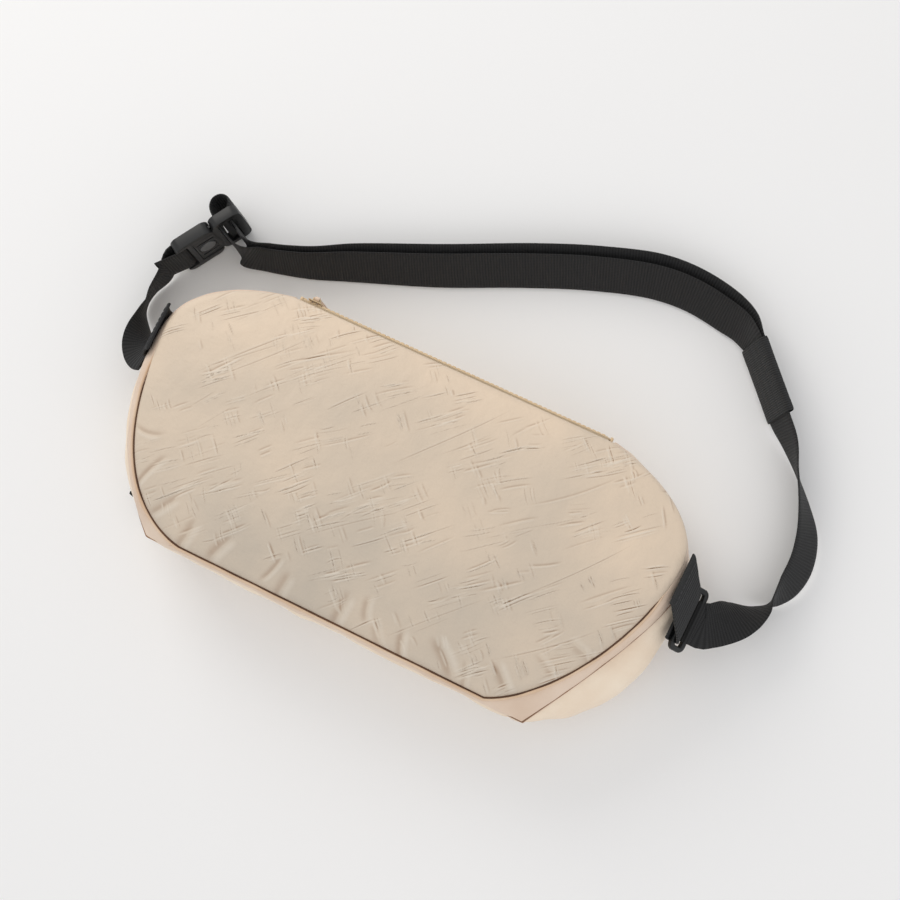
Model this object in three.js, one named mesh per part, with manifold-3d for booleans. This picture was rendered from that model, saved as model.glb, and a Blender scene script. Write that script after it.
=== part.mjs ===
// Small sling bag with a webbing strap, lying on its back. Millimetres, +Z up.
// The bag's front faces +Z, its zip is along the +Y edge and its long axis is X.

import * as THREE from 'three';
import { mergeVertices } from 'three/addons/utils/BufferGeometryUtils.js';
import Module from 'manifold-3d';

const wasm = await Module();
wasm.setup();

// ---- Driving dimensions ------------------------------------------------------------------

const GAP = 0.3; // space between neighbouring pieces

const SEAM_Z = 62; // height of the front seam above the back
const RIDGE_Z = 48; // height of the ridge seam between the two side bands
const BELLY_Z = 15; // height at which the rear band is widest
const CROWN = 14; // how far the front panel domes above its seam
const PIPING_RADIUS = 1.1;
const FRONT_CLOTH = 2.4;
const BAND_CLOTH = 1.6;
const BACK_CLOTH = 2.6;
const FOAM = 6;
const LINING_CLOTH = 0.8;

const WEBBING_WIDTH = 25;
const WEBBING_THICKNESS = 1.4;
const TAB_WIDTH = 30;

const ZIP_HALF_LENGTH = 97;
const ZIP_Y = 81;
const ZIP_Z = 55;
const TOOTH_PITCH = 3;
const CHAIN_THICKNESS = 2.2;
const SLIDER_REST_X = -90;

// Outlines of the bag seen from its front. Each has straight stretches at the top and the
// bottom and two sides: half is how far the side reaches from the middle, waist the height
// where it does, and the handles set how full its shoulder and its hip are.
const FRONT_EDGE = {
  top: 79.5, topFlat: 100, bottom: -79.5, bottomFlat: 97,
  right: { half: 163.5, waist: 32, shoulder: [3.7, 36.1], hip: [41.6, 34.8], hipAngle: 22 },
  left: { half: 163.5, waist: 32, shoulder: [3.7, 36.1], hip: [69.8, 35.3], hipAngle: 8.4 },
};
const RIDGE_EDGE = {
  top: 79.5, topFlat: 102, bottom: -81.5, bottomFlat: 121,
  right: { half: 167.5, waist: 22, shoulder: [14, 32.1], hip: [26.6, 3], hipAngle: 76 },
  left: { half: 169.8, waist: 18, shoulder: [3, 56], hip: [50.5, 22.9], hipAngle: 42.4 },
};
const BELLY_SIDE = { half: 170.5, waist: 6, shoulder: [26, 50], hip: [50, 36], hipAngle: 8 };
const BELLY_EDGE = {
  top: 78.5, topFlat: 102, bottom: -80.5, bottomFlat: 106, right: BELLY_SIDE, left: BELLY_SIDE,
};
const BACK_SIDE = { half: 163, waist: 4, shoulder: [26, 46], hip: [46, 34], hipAngle: 8 };
const BACK_EDGE = {
  top: 72, topFlat: 94, bottom: -75, bottomFlat: 100, right: BACK_SIDE, left: BACK_SIDE,
};

// ---- Materials ---------------------------------------------------------------------------

const finish = (color, roughness, metalness = 0) =>
  new THREE.MeshStandardMaterial({ color, roughness, metalness });

const CREASED_CLOTH = finish(0xc9bba6, 0.62);
const SIDE_CLOTH = finish(0xe6d3b8, 0.7);
const PIPING = finish(0xd9bd9a, 0.65);
const BACK_MESH = finish(0xd8c8ae, 0.9);
const PADDING = finish(0xf0efe8, 0.95);
const LINING = finish(0xb9ac98, 0.85);
const ZIP_TAPE = finish(0xd8b88c, 0.85);
const ZIP_TEETH = finish(0xd9a968, 0.4);
const ZIP_METAL = finish(0xd8c3a0, 0.45, 0.3);
const WEBBING = finish(0x1b1b1c, 0.85);
const GROSGRAIN = finish(0x2a2b2b, 0.8);
const BLACK_PLASTIC = finish(0x242526, 0.5);
const GREY_PLASTIC = finish(0x5a5b5b, 0.5);

const bag = new THREE.Group();

function place(name, geometry, material, matrix = new THREE.Matrix4()) {
  const mesh = new THREE.Mesh(geometry, material);
  mesh.name = name;
  mesh.applyMatrix4(matrix);
  bag.add(mesh);
  return mesh;
}

// ---- Solid helpers -----------------------------------------------------------------------

// Keeps positions only, joins shared corners and makes the faces point out.
function solid(geometry) {
  const bare = geometry.clone();
  for (const key of Object.keys(bare.attributes)) {
    if (key !== 'position') bare.deleteAttribute(key);
  }
  bare.clearGroups();
  const merged = mergeVertices(bare, 1e-4);
  const index = merged.index.array;
  const p = merged.attributes.position;
  const corner = (i) => new THREE.Vector3().fromBufferAttribute(p, i);
  const faces = [];
  let volume = 0;
  for (let i = 0; i < index.length; i += 3) {
    const [a, b, c] = [index[i], index[i + 1], index[i + 2]];
    if (a === b || b === c || c === a) continue;
    faces.push([a, b, c]);
    volume += corner(a).dot(corner(b).cross(corner(c)));
  }
  merged.setIndex(faces.flatMap(([a, b, c]) => (volume < 0 ? [a, c, b] : [a, b, c])));
  return merged;
}

// A box whose grid corners are sent to place: u runs 0..1 along it, v and w run -0.5..0.5.
function bentBox(steps, across, through, where) {
  const geometry = new THREE.BoxGeometry(1, 1, 1, steps, across, through);
  const p = geometry.attributes.position;
  for (let i = 0; i < p.count; i++) {
    const spot = where(p.getX(i) + 0.5, p.getY(i), p.getZ(i));
    p.setXYZ(i, spot.x, spot.y, spot.z);
  }
  return solid(geometry);
}

function toManifold(geometry) {
  const s = solid(geometry);
  const vertProperties = new Float32Array(s.attributes.position.array);
  const triVerts = new Uint32Array(s.index.array);
  return new wasm.Manifold(new wasm.Mesh({ numProp: 3, vertProperties, triVerts }));
}

function fromManifold(manifold) {
  const mesh = manifold.getMesh();
  const geometry = new THREE.BufferGeometry();
  geometry.setAttribute('position', new THREE.BufferAttribute(mesh.vertProperties, 3));
  geometry.setIndex(new THREE.BufferAttribute(mesh.triVerts, 1));
  return geometry;
}

function cut(body, tools) {
  return fromManifold(tools.reduce((m, t) => m.subtract(toManifold(t)), toManifold(body)));
}

// A box given by its lowest and highest corners.
function block(low, high) {
  const size = high.map((h, i) => h - low[i]);
  const middle = high.map((h, i) => (h + low[i]) / 2);
  return new THREE.BoxGeometry(...size).translate(...middle);
}

// A flat plate of a shape, from height low to height high.
function plate(shape, low, high, curveSegments = 8) {
  const options = { depth: high - low, bevelEnabled: false, curveSegments };
  return new THREE.ExtrudeGeometry(shape, options).translate(0, 0, low);
}

function roundedRectangle(x0, y0, x1, y1, r) {
  const shape = new THREE.Shape();
  shape.moveTo(x0 + r, y0).lineTo(x1 - r, y0).absarc(x1 - r, y0 + r, r, -Math.PI / 2, 0);
  shape.lineTo(x1, y1 - r).absarc(x1 - r, y1 - r, r, 0, Math.PI / 2);
  shape.lineTo(x0 + r, y1).absarc(x0 + r, y1 - r, r, Math.PI / 2, Math.PI);
  shape.lineTo(x0, y0 + r).absarc(x0 + r, y0 + r, r, Math.PI, 1.5 * Math.PI);
  return shape;
}

// ---- Bag outlines ------------------------------------------------------------------------

const TOP_STEPS = 4; // half of the straight top
const SHOULDER_STEPS = 8;
const HIP_STEPS = 10;
const BOTTOM_STEPS = 4; // half of the straight bottom
const HALF_STEPS = TOP_STEPS + SHOULDER_STEPS + HIP_STEPS + BOTTOM_STEPS;
const STEPS = 2 * HALF_STEPS;

// One side of an outline, from the middle of its top to just before the middle of its bottom.
function outlineSide(edge, side) {
  const v = (x, y) => new THREE.Vector2(x, y);
  const angle = THREE.MathUtils.degToRad(side.hipAngle);
  const hipEnd = v(edge.bottomFlat + side.hip[1] * Math.cos(angle),
    edge.bottom + side.hip[1] * Math.sin(angle));
  const widest = v(side.half, side.waist);
  const stretches = [
    [new THREE.LineCurve(v(0, edge.top), v(edge.topFlat, edge.top)), TOP_STEPS],
    [new THREE.CubicBezierCurve(v(edge.topFlat, edge.top),
      v(edge.topFlat + side.shoulder[0], edge.top),
      v(side.half, side.waist + side.shoulder[1]), widest), SHOULDER_STEPS],
    [new THREE.CubicBezierCurve(widest, v(side.half, side.waist - side.hip[0]),
      hipEnd, v(edge.bottomFlat, edge.bottom)), HIP_STEPS],
    [new THREE.LineCurve(v(edge.bottomFlat, edge.bottom), v(0, edge.bottom)), BOTTOM_STEPS],
  ];
  return stretches.flatMap(([curve, n]) => curve.getPoints(n).slice(0, n));
}

// Points of an outline, clockwise from the middle of its top, and their inward directions.
function outline(edge) {
  const v = (x, y) => new THREE.Vector2(x, y);
  const left = outlineSide(edge, edge.left).slice(1).reverse().map((p) => v(-p.x, p.y));
  const points = [...outlineSide(edge, edge.right), v(0, edge.bottom), ...left];
  const inward = points.map((p, i) => {
    const before = points[(i + STEPS - 1) % STEPS];
    const after = points[(i + 1) % STEPS];
    const along = after.clone().sub(before).normalize();
    return v(along.y, -along.x);
  });
  return { points, inward };
}

const FRONT = outline(FRONT_EDGE);
const RIDGE = outline(RIDGE_EDGE);
const BELLY = outline(BELLY_EDGE);
const BACK = outline(BACK_EDGE);

// A spot on an outline: step may be a fraction, inset moves it inwards.
function onOutline(line, step, inset, z) {
  const wrapped = ((step % STEPS) + STEPS) % STEPS;
  const i = Math.floor(wrapped) % STEPS;
  const j = (i + 1) % STEPS;
  const t = wrapped - Math.floor(wrapped);
  const at = line.points[i].clone().lerp(line.points[j], t);
  const inward = line.inward[i].clone().lerp(line.inward[j], t).normalize();
  return new THREE.Vector3(at.x + inset * inward.x, at.y + inset * inward.y, z);
}

// A solid whose section goes all round the bag. Each corner of the section is a row of
// [outline, inset, z, share of the way out from the middle]; a section that starts and ends
// at share 0 closes on the middle axis, and any other closes on itself.
function aroundBag(section) {
  const onAxis = section[0][3] === 0;
  const rows = onAxis ? section : [...section, section[0]];
  const lathe = new THREE.LatheGeometry(rows.map((row, i) => new THREE.Vector2(1, i)), STEPS);
  const p = lathe.attributes.position;
  for (let i = 0; i < p.count; i++) {
    const step = Math.floor(i / rows.length) % STEPS;
    const [line, inset, z, share] = rows[i % rows.length];
    const spot = onOutline(line, step, inset, z);
    p.setXYZ(i, spot.x * share, spot.y * share, z);
  }
  return solid(lathe);
}

// A cloth band between steps from and to of the outlines. Its section is a list of
// [outline, z] from its front edge to its rear edge, and cloth is its thickness.
function band(from, to, section, cloth) {
  const spans = section.length - 1;
  return bentBox(Math.ceil(to - from), spans, 1, (u, v, w) => {
    const along = (v + 0.5) * spans;
    const k = Math.min(Math.round(along), spans);
    const [line, z] = section[k];
    return onOutline(line, from + u * (to - from), (w + 0.5) * cloth, z);
  });
}

function pipingAround(line, z, inset = 0) {
  const corners = Array.from({ length: 6 }, (_, i) => (i * Math.PI) / 3);
  return aroundBag(corners.map((a) => [
    line, inset + PIPING_RADIUS * Math.cos(a), z + PIPING_RADIUS * Math.sin(a), 1,
  ]));
}

// ---- Bag body ----------------------------------------------------------------------------

const FRONT_SHARES = [0, 0.25, 0.45, 0.62, 0.76, 0.87, 0.95, 1];
const domeHeight = (share) => SEAM_Z + 1.4 + (CROWN - 1.4) * (1 - share ** 2.6);

function domedSheet(inset, lower, cloth) {
  const outer = FRONT_SHARES.map((s) => [FRONT, inset, domeHeight(s) - lower, s]);
  const inner = FRONT_SHARES.map((s) => [FRONT, inset, domeHeight(s) - lower - cloth, s]);
  return aroundBag([...outer, ...inner.reverse()]);
}

function addShell() {
  const trim = 0.02; // part of a step left free where two bands meet
  const topEnd = TOP_STEPS;
  const bottomStart = TOP_STEPS + SHOULDER_STEPS + HIP_STEPS;
  const bottomEnd = STEPS - bottomStart;
  const side = [[FRONT, SEAM_Z - 1.1], [RIDGE, RIDGE_Z + 1.5]];
  const rear = [[RIDGE, RIDGE_Z - 1.5], [BELLY, 30], [BELLY, BELLY_Z], [BACK, 3.2]];

  place('front_panel', domedSheet(PIPING_RADIUS + GAP, 0, FRONT_CLOTH), CREASED_CLOTH);
  place('front_piping', pipingAround(FRONT, SEAM_Z + 0.4), PIPING);
  place('end_gusset_right', band(topEnd + trim, bottomStart - trim, side, BAND_CLOTH), SIDE_CLOTH);
  place('bottom_gusset', band(bottomStart + trim, bottomEnd - trim, side, BAND_CLOTH), SIDE_CLOTH);
  place('end_gusset_left', band(bottomEnd + trim, STEPS - topEnd - trim, side, BAND_CLOTH),
    SIDE_CLOTH);
  place('ridge_piping', pipingAround(RIDGE, RIDGE_Z, 0.4), PIPING);
  place('rear_band_top', band(-topEnd + trim, topEnd - trim, rear, BAND_CLOTH), SIDE_CLOTH);
  place('rear_band_right', band(topEnd + trim, bottomStart - trim, rear, BAND_CLOTH), SIDE_CLOTH);
  place('rear_band_bottom', band(bottomStart + trim, bottomEnd - trim, rear, BAND_CLOTH),
    SIDE_CLOTH);
  place('rear_band_left', band(bottomEnd + trim, STEPS - topEnd - trim, rear, BAND_CLOTH),
    SIDE_CLOTH);
  place('back_piping', pipingAround(BACK, 1.5, 0.2), PIPING);
  const backInset = PIPING_RADIUS + GAP + 0.4;
  place('back_panel', aroundBag([[BACK, backInset, 0, 0], [BACK, backInset, 0, 1],
    [BACK, backInset, BACK_CLOTH, 1], [BACK, backInset, BACK_CLOTH, 0]]), BACK_MESH);
  const foamLow = BACK_CLOTH + GAP;
  place('back_foam', aroundBag([[BACK, 4, foamLow, 0], [BACK, 4, foamLow, 1],
    [BACK, 4, foamLow + FOAM, 1], [BACK, 4, foamLow + FOAM, 0]]), PADDING);
}

// The lining is a thin bag inside the shell, open along the zip.
function liningBody(inset) {
  const floor = BACK_CLOTH + FOAM + 2 * GAP + inset;
  const rise = FRONT_SHARES.map((s) => [FRONT, 3.6 + inset, domeHeight(s) - 2.8 - inset, s]);
  return aroundBag([
    [BACK, 3 + inset, floor, 0], [BACK, 3 + inset, floor, 1],
    [BELLY, 2.6 + inset, BELLY_Z + 3, 1], [BELLY, 2.6 + inset, 30, 1],
    [RIDGE, 3.4 + inset, RIDGE_Z - 2, 1], [FRONT, 3.4 + inset, SEAM_Z - 4, 1],
    ...rise.reverse(),
  ]);
}

function addLining() {
  const mouth = block([-90, 55, ZIP_Z - 3], [90, 90, ZIP_Z + 3]);
  place('lining', cut(liningBody(0), [liningBody(LINING_CLOTH), mouth]), LINING);
  const pocket = plate(roundedRectangle(-85, -58, 85, 25, 8), 13.2, 14);
  place('inner_pocket', solid(pocket), LINING);
}

// ---- Zip ---------------------------------------------------------------------------------

// A tape is a flat strip tilted down from the chain to the cloth beside it.
function zipTape(innerZ, outerZ, outerY) {
  const thickness = 0.8;
  return bentBox(1, 1, 1, (u, v, w) => {
    const share = v + 0.5;
    return new THREE.Vector3((u - 0.5) * 2 * ZIP_HALF_LENGTH,
      THREE.MathUtils.lerp(ZIP_Y, outerY, share) + w * thickness,
      THREE.MathUtils.lerp(innerZ, outerZ, share));
  });
}

// One row of teeth on its bead, as a comb in the XZ plane. facing is the way the teeth point.
function toothRow(facing, shift) {
  const bead = { inner: 1.9, outer: 0.75, tip: -0.55 };
  const half = 0.58;
  const comb = new THREE.Shape();
  comb.moveTo(-ZIP_HALF_LENGTH, bead.inner).lineTo(-ZIP_HALF_LENGTH, bead.outer);
  const first = -ZIP_HALF_LENGTH + 1 + shift;
  for (let x = first; x + half < ZIP_HALF_LENGTH - 0.5; x += TOOTH_PITCH) {
    comb.lineTo(x - half, bead.outer).lineTo(x - half, bead.tip);
    comb.lineTo(x + half, bead.tip).lineTo(x + half, bead.outer);
  }
  comb.lineTo(ZIP_HALF_LENGTH, bead.outer).lineTo(ZIP_HALF_LENGTH, bead.inner);
  const row = plate(comb, -CHAIN_THICKNESS / 2, CHAIN_THICKNESS / 2);
  const basis = new THREE.Matrix4().makeBasis(new THREE.Vector3(1, 0, 0),
    new THREE.Vector3(0, 0, facing), new THREE.Vector3(0, 1, 0));
  return solid(row.applyMatrix4(basis).translate(0, ZIP_Y, ZIP_Z));
}

function addZip() {
  place('zip_tape_front', zipTape(ZIP_Z + 2.3, SEAM_Z - 1.4, FRONT_EDGE.top - 0.6), ZIP_TAPE);
  place('zip_tape_rear', zipTape(ZIP_Z - 2.3, RIDGE_Z + 1.6, RIDGE_EDGE.top - 0.6), ZIP_TAPE);
  place('zip_teeth_front', toothRow(1, 0), ZIP_TEETH);
  place('zip_teeth_rear', toothRow(-1, TOOTH_PITCH / 2), ZIP_TEETH);
  for (const [side, name] of [[-1, 'left'], [1, 'right']]) {
    const x = side * (ZIP_HALF_LENGTH + GAP + 0.8);
    place(`zip_stop_${name}`, block([x - 0.8, ZIP_Y - 1.3, ZIP_Z - 2.2],
      [x + 0.8, ZIP_Y + 1.3, ZIP_Z + 2.2]), ZIP_METAL);
  }

  addSlider();
}

// The slider's two plates run above and below the chain. The bail is an arch along X, and the
// pull's eye turns round its bar, so the pull swings from the rear band over to the front.
function addSlider() {
  const half = { length: 4.5, width: 4, bail: 2.6 };
  const bar = { middle: ZIP_Y + 3.7, half: 0.45, width: 0.45 };
  const shape = roundedRectangle(-half.length, -half.width, half.length, half.width, 2);
  const onChain = new THREE.Matrix4().makeBasis(new THREE.Vector3(1, 0, 0),
    new THREE.Vector3(0, 0, -1), new THREE.Vector3(0, 1, 0))
    .setPosition(SLIDER_REST_X, ZIP_Y, ZIP_Z);
  const deck = plate(shape, 1.4, 2, 4).applyMatrix4(onChain);
  const barHeight = bar.middle - ZIP_Y;
  const arch = block([-half.bail, 1.8, -bar.width], [half.bail, barHeight + bar.half, bar.width]);
  const under = block([-1.7, 1.7, -2], [1.7, barHeight - bar.half, 2]);
  const bail = cut(arch, [under]).translate(SLIDER_REST_X, ZIP_Y, ZIP_Z);
  place('zip_slider', solid(fromManifold(toManifold(deck).add(toManifold(bail)))), ZIP_METAL);
  place('zip_slider_underplate', solid(plate(shape, -3.4, -2.2, 4).applyMatrix4(onChain)),
    ZIP_METAL);

  const eye = { outer: 1.4, inner: 0.85, width: 2.8 };
  const ring = (r) => new THREE.CylinderGeometry(r, r, eye.width, 12).rotateZ(Math.PI / 2);
  const tab = bentBox(4, 1, 1, (u, v, w) => new THREE.Vector3(
    v * (u < 0.2 ? eye.width : 4.4), w * 1.2, -1 - 26 * u));
  const hole = new THREE.CylinderGeometry(eye.inner, eye.inner, 8, 12).rotateZ(Math.PI / 2);
  const pull = fromManifold(toManifold(ring(eye.outer)).add(toManifold(tab))
    .subtract(toManifold(hole)));
  place('zip_pull', solid(pull.translate(SLIDER_REST_X, bar.middle, ZIP_Z)), SIDE_CLOTH);
}

// ---- Webbing -----------------------------------------------------------------------------

// Stations of a length of webbing: [x, y, z, heading, lean]. The heading is the direction, in
// degrees from +X, that its width takes seen from above, and lean is how far the width is
// raised from the floor, so 90 stands it on its edge.
function widthDirection(heading, lean) {
  const h = THREE.MathUtils.degToRad(heading);
  const l = THREE.MathUtils.degToRad(lean);
  return [Math.cos(l) * Math.cos(h), Math.cos(l) * Math.sin(h), Math.sin(l)];
}

function webbing(stations, steps, width = WEBBING_WIDTH, thickness = WEBBING_THICKNESS) {
  const route = new THREE.CatmullRomCurve3(
    stations.map(([x, y, z]) => new THREE.Vector3(x, y, z)), false, 'centripetal');
  const turn = new THREE.CatmullRomCurve3(
    stations.map((s) => new THREE.Vector3(...widthDirection(s[3], s[4]))), false, 'catmullrom');
  return bentBox(steps, 1, 1, (u, v, w) => {
    const along = route.getTangent(u);
    const across = turn.getPoint(u);
    across.addScaledVector(along, -across.dot(along)).normalize();
    const normal = along.clone().cross(across);
    return route.getPoint(u).addScaledVector(across, v * width)
      .addScaledVector(normal, w * thickness);
  });
}

// ---- End tabs and ring -------------------------------------------------------------------

// A strip folded round a bar and sewn to the end seam with both ends. Its section is a list of
// [distance out from X = 0, height], and its width lies along Y round each middle. Towards the
// shoulder its lower part is drawn in by up to hug, to lie along the ridge seam.
function foldedTab(side, section, fromY, toY, hug = 0) {
  const route = new THREE.CatmullRomCurve3(
    section.map(([x, z]) => new THREE.Vector3(x, 0, z)), false, 'centripetal');
  return bentBox(28, 1, 1, (u, v, w) => {
    const at = route.getPoint(u);
    const along = route.getTangent(u);
    const y = THREE.MathUtils.lerp(fromY, toY, THREE.MathUtils.smoothstep(u, 0, 0.45))
      + v * TAB_WIDTH;
    const drawnIn = hug * (Math.max(y - 18, 0) / 28) ** 2
      * THREE.MathUtils.smoothstep(section[0][1] - at.z, 0, 13);
    const x = at.x + w * WEBBING_THICKNESS * along.z - drawnIn;
    return new THREE.Vector3(side * x, y, at.z - w * WEBBING_THICKNESS * along.x);
  });
}

// The ring lies in its own plane: its bars run along -Y, and ringReach points from the bar
// held by the tab to the bar that carries the strap.
const RING = { middle: [178, 10, 38], halfBar: 17.5, halfReach: 4.5, bar: 1.7, drop: 50 };
const dropAngle = THREE.MathUtils.degToRad(RING.drop);
const ringBars = new THREE.Vector3(0, -1, 0);
const ringReach = new THREE.Vector3(Math.cos(dropAngle), 0, -Math.sin(dropAngle));
const ringFace = ringReach.clone().cross(ringBars).negate();

function addTabs() {
  const right = [[165.8, 63.9], [168.4, 61], [172.4, 55], [176.6, 48], [178.1, 43.8],
    [177.6, 40.2], [175.4, 38.2], [172.8, 39.2], [171.6, 42.4], [171.4, 46.4]];
  place('tab_right', foldedTab(1, right, 27, RING.middle[1]), GROSGRAIN);
  const left = [[165.8, 63.9], [167.9, 61.4], [169.7, 57.2], [171.4, 52.4], [172.2, 48],
    [172.4, 45], [172, 42.6]];
  place('tab_left', foldedTab(-1, left, 31, 28, 5.6), GROSGRAIN);

  const [x, y, r] = [RING.halfReach, RING.halfBar, RING.bar];
  const outer = roundedRectangle(-x - r, -y - r, x + r, y + r, 4);
  outer.holes.push(roundedRectangle(-x + r, -y + r, x - r, y - r, 1.5));
  const chamfer = 0.8;
  const body = new THREE.ExtrudeGeometry(outer, {
    depth: 2 * (r - chamfer), curveSegments: 3, bevelSegments: 1,
    bevelThickness: chamfer, bevelSize: chamfer, bevelOffset: -chamfer,
  }).translate(0, 0, chamfer - r);
  const basis = new THREE.Matrix4().makeBasis(ringReach, ringBars, ringFace.clone().negate())
    .setPosition(...RING.middle);
  place('ring', solid(body), BLACK_PLASTIC, basis);
}

// ---- Buckle ------------------------------------------------------------------------------

// The buckle stands on its long edge. In its own frame X runs from the dock to the plate, Y
// across the webbing and +Z out of its face.
const BUCKLE = { middle: [-178.8, 97, 17.8], heading: 57, lean: 85 };

function buckleFrame() {
  const h = THREE.MathUtils.degToRad(BUCKLE.heading);
  const along = new THREE.Vector3(Math.cos(h), Math.sin(h), 0);
  const across = new THREE.Vector3(...widthDirection(BUCKLE.heading + 90, BUCKLE.lean));
  return new THREE.Matrix4().makeBasis(along, across, along.clone().cross(across))
    .setPosition(...BUCKLE.middle);
}

function addBuckle() {
  const frame = buckleFrame();
  const dockShape = roundedRectangle(-22, -16.5, 4, 16.5, 5);
  const dock = cut(plate(dockShape, -4, 4, 5), [
    block([-17.5, -13.2, -5], [-14.1, 13.2, 5]), // slot for the short strap
    block([-23, -13.2, 2], [-17, 13.2, 5]), // the bar beside it is thinner
    block([-23, -13.2, -5], [-17, 13.2, -2]),
    block([-11, -12.2, -2.2], [5, 12.2, 5]), // bay for the plate, open at its face
    block([-11, -14.2, -1.1], [5, 14.2, 1.1]), // grooves for the plate's edges
  ]);
  place('buckle_dock', solid(dock), BLACK_PLASTIC, frame);

  const tongue = block([-10.7, -11.9, -1.9], [4.4, 11.9, 3.7]);
  const edges = block([-10.7, -13.8, -0.8], [4.4, 13.8, 0.8]);
  const head = plate(roundedRectangle(4.3, -16.5, 24, 16.5, 5), -3.4, 3.4, 5);
  const button = new THREE.Shape().absellipse(-3.4, 0, 5.6, 4.4, 0, 2 * Math.PI);
  const well = new THREE.Shape().absellipse(-3.4, 0, 5.9, 4.7, 0, 2 * Math.PI);
  const whole = fromManifold(toManifold(tongue).add(toManifold(edges)).add(toManifold(head)));
  const male = cut(whole, [
    plate(well, -0.8, 5, 7), // blind well for the button
    block([-9.2, 6.4, 1.6], [2.6, 7.6, 5]), // hinge grooves beside the button
    block([-9.2, -7.6, 1.6], [2.6, -6.4, 5]),
    block([8.1, -13.2, -5], [11.4, 13.2, 5]), // first slot for the strap
    block([15.9, -13.2, -5], [18.5, 13.2, 5]), // second slot
    block([11, -13.2, 1.8], [16.2, 13.2, 5]), // the bar between them is thinner
    block([11, -13.2, -5], [16.2, 13.2, -1.8]),
  ]);
  place('buckle_plate', solid(male), BLACK_PLASTIC, frame);
  place('release_button', solid(plate(button, 0.5, 4.1, 7)), GREY_PLASTIC, frame);
}

// ---- Strap -------------------------------------------------------------------------------

// A place given in the buckle's frame, as the first three numbers of a station.
function besideBuckle(x, z) {
  const spot = new THREE.Vector3(x, 0, z).applyMatrix4(buckleFrame());
  return [spot.x, spot.y, spot.z, BUCKLE.heading + 90, BUCKLE.lean];
}

// A place beside the ring's outer bar: reach past the bar, and rise above the ring's face.
function besideRing(reach, rise) {
  const spot = new THREE.Vector3(...RING.middle)
    .addScaledVector(ringReach, RING.halfReach + reach).addScaledVector(ringFace, rise);
  return [spot.x, spot.y, spot.z, -90, 0];
}

// The keeper is a sleeve round both runs of the strap. In its own frame X follows the strap
// towards the buckle and +Z points away from the bag.
const KEEPER = { middle: [160, 155.4, 15.4], heading: 44, lean: 68, length: 45 };

function keeperFrame() {
  const h = THREE.MathUtils.degToRad(KEEPER.heading);
  const across = new THREE.Vector3(...widthDirection(KEEPER.heading, KEEPER.lean));
  const along = new THREE.Vector3(-Math.sin(h), Math.cos(h), 0);
  return new THREE.Matrix4().makeBasis(along, across, along.clone().cross(across))
    .setPosition(...KEEPER.middle);
}

function insideKeeper(x, z) {
  const spot = new THREE.Vector3(x, 0, z).applyMatrix4(keeperFrame());
  return [spot.x, spot.y, spot.z, KEEPER.heading, KEEPER.lean];
}

// The strap's sewn end lies under its own run beside the ring and goes once round the bar.
const SINGLE_ROUTE = [
  [192, 13.6, 28.2, -82, 6], besideRing(4.4, -2.7),
  ...[-80, -125, 180, 125, 75].map((a) => THREE.MathUtils.degToRad(a))
    .map((a) => besideRing(2.9 * Math.cos(a), 2.9 * Math.sin(a))),
  [187.2, 10, 34.3, -90, 0], [191.5, 13.4, 31, -82, 6], [196.5, 18, 26.8, -70, 15],
  [203.6, 25, 20.5, -50, 36],
  [212, 35, 15, -25, 72], [216.5, 43, 13.6, 0, 104], [220, 53, 12.6, 5, 122],
  [221.3, 66.8, 12.2, 2, 126], [217.6, 83, 12.2, 18, 122], [208.5, 99, 12.8, 30, 108],
  [197, 114.5, 13.4, 38, 92], [187.2, 127, 14.2, 42, 76],
  insideKeeper(-24, -1), insideKeeper(-0.15, -1),
];

const FRONT_ROUTE = [
  insideKeeper(0.15, -1), insideKeeper(24.5, -1),
  [133.4, 178, 13, 60, 60], [122.8, 180.8, 11.4, 70, 54], [99.6, 184.2, 11.2, 88, 52],
  [76.1, 182.6, 11, 97, 51], [40.6, 172.4, 11, 109, 51], [4.5, 158.2, 11, 112, 51],
  [-44.2, 136.6, 11.2, 112, 52], [-93.7, 117, 11.8, 112, 59], [-118.4, 106.6, 12.6, 111, 66],
  [-143.4, 99.4, 13.4, 106, 71],
  [...besideBuckle(12, 20).slice(0, 3), 128, 77], besideBuckle(10.6, 13), besideBuckle(9.7, 7),
  besideBuckle(9.3, 3.2), besideBuckle(9.2, 0.15),
];

const SLACK_LOOP = [
  [9.2, -0.15], [9.2, -4], [9.4, -8.5], [10.8, -12.6], [14.5, -15.6], [19.3, -15.2],
  [22.2, -12], [21.9, -8.6], [19.6, -5.7], [17.3, -3.3], [17, -0.15],
].map(([x, z]) => besideBuckle(x, z));

const RETURN_ROUTE = [
  besideBuckle(17, 0.15), besideBuckle(17.2, 3.4), besideBuckle(17.6, 8), besideBuckle(17.6, 15),
  [-143.6, 104, 13.6, 103, 75], [-117, 111.5, 12.8, 111, 67],
  [-91.5, 123.5, 11.8, 112, 59], [-41, 144.4, 11.2, 112, 52], [7.7, 166.4, 11, 112, 51],
  [43.2, 180.2, 11, 109, 51], [77.2, 190, 11.2, 98, 52], [101, 190.8, 11.4, 86, 53],
  [124.6, 186.6, 12.2, 68, 57], [136.4, 181.2, 13.2, 56, 62],
  insideKeeper(23, 1), insideKeeper(8, 1), insideKeeper(-6, 1),
];

const SHORT_ROUTE = [
  [-173.4, 16.2, 39.4, -88, 14], [-176.2, 15.6, 36.8, -90, 18], [-180, 16.8, 32, -98, 28],
  [-185, 21.6, 25, -114, 50], [-192.4, 31.4, 17.2, -150, 82], [-198, 43, 13.8, 178, 105],
  [-198.6, 54, 13.6, 176, 100], [-195.8, 65, 14, 160, 90],
  besideBuckle(-24.5, -3.2), besideBuckle(-19.7, -3.2), besideBuckle(-16.2, -2.2),
  besideBuckle(-15.2, 0), besideBuckle(-16.2, 2.2), besideBuckle(-19.7, 3.2),
  besideBuckle(-25, 2.4), besideBuckle(-36, 0.6),
];

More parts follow.
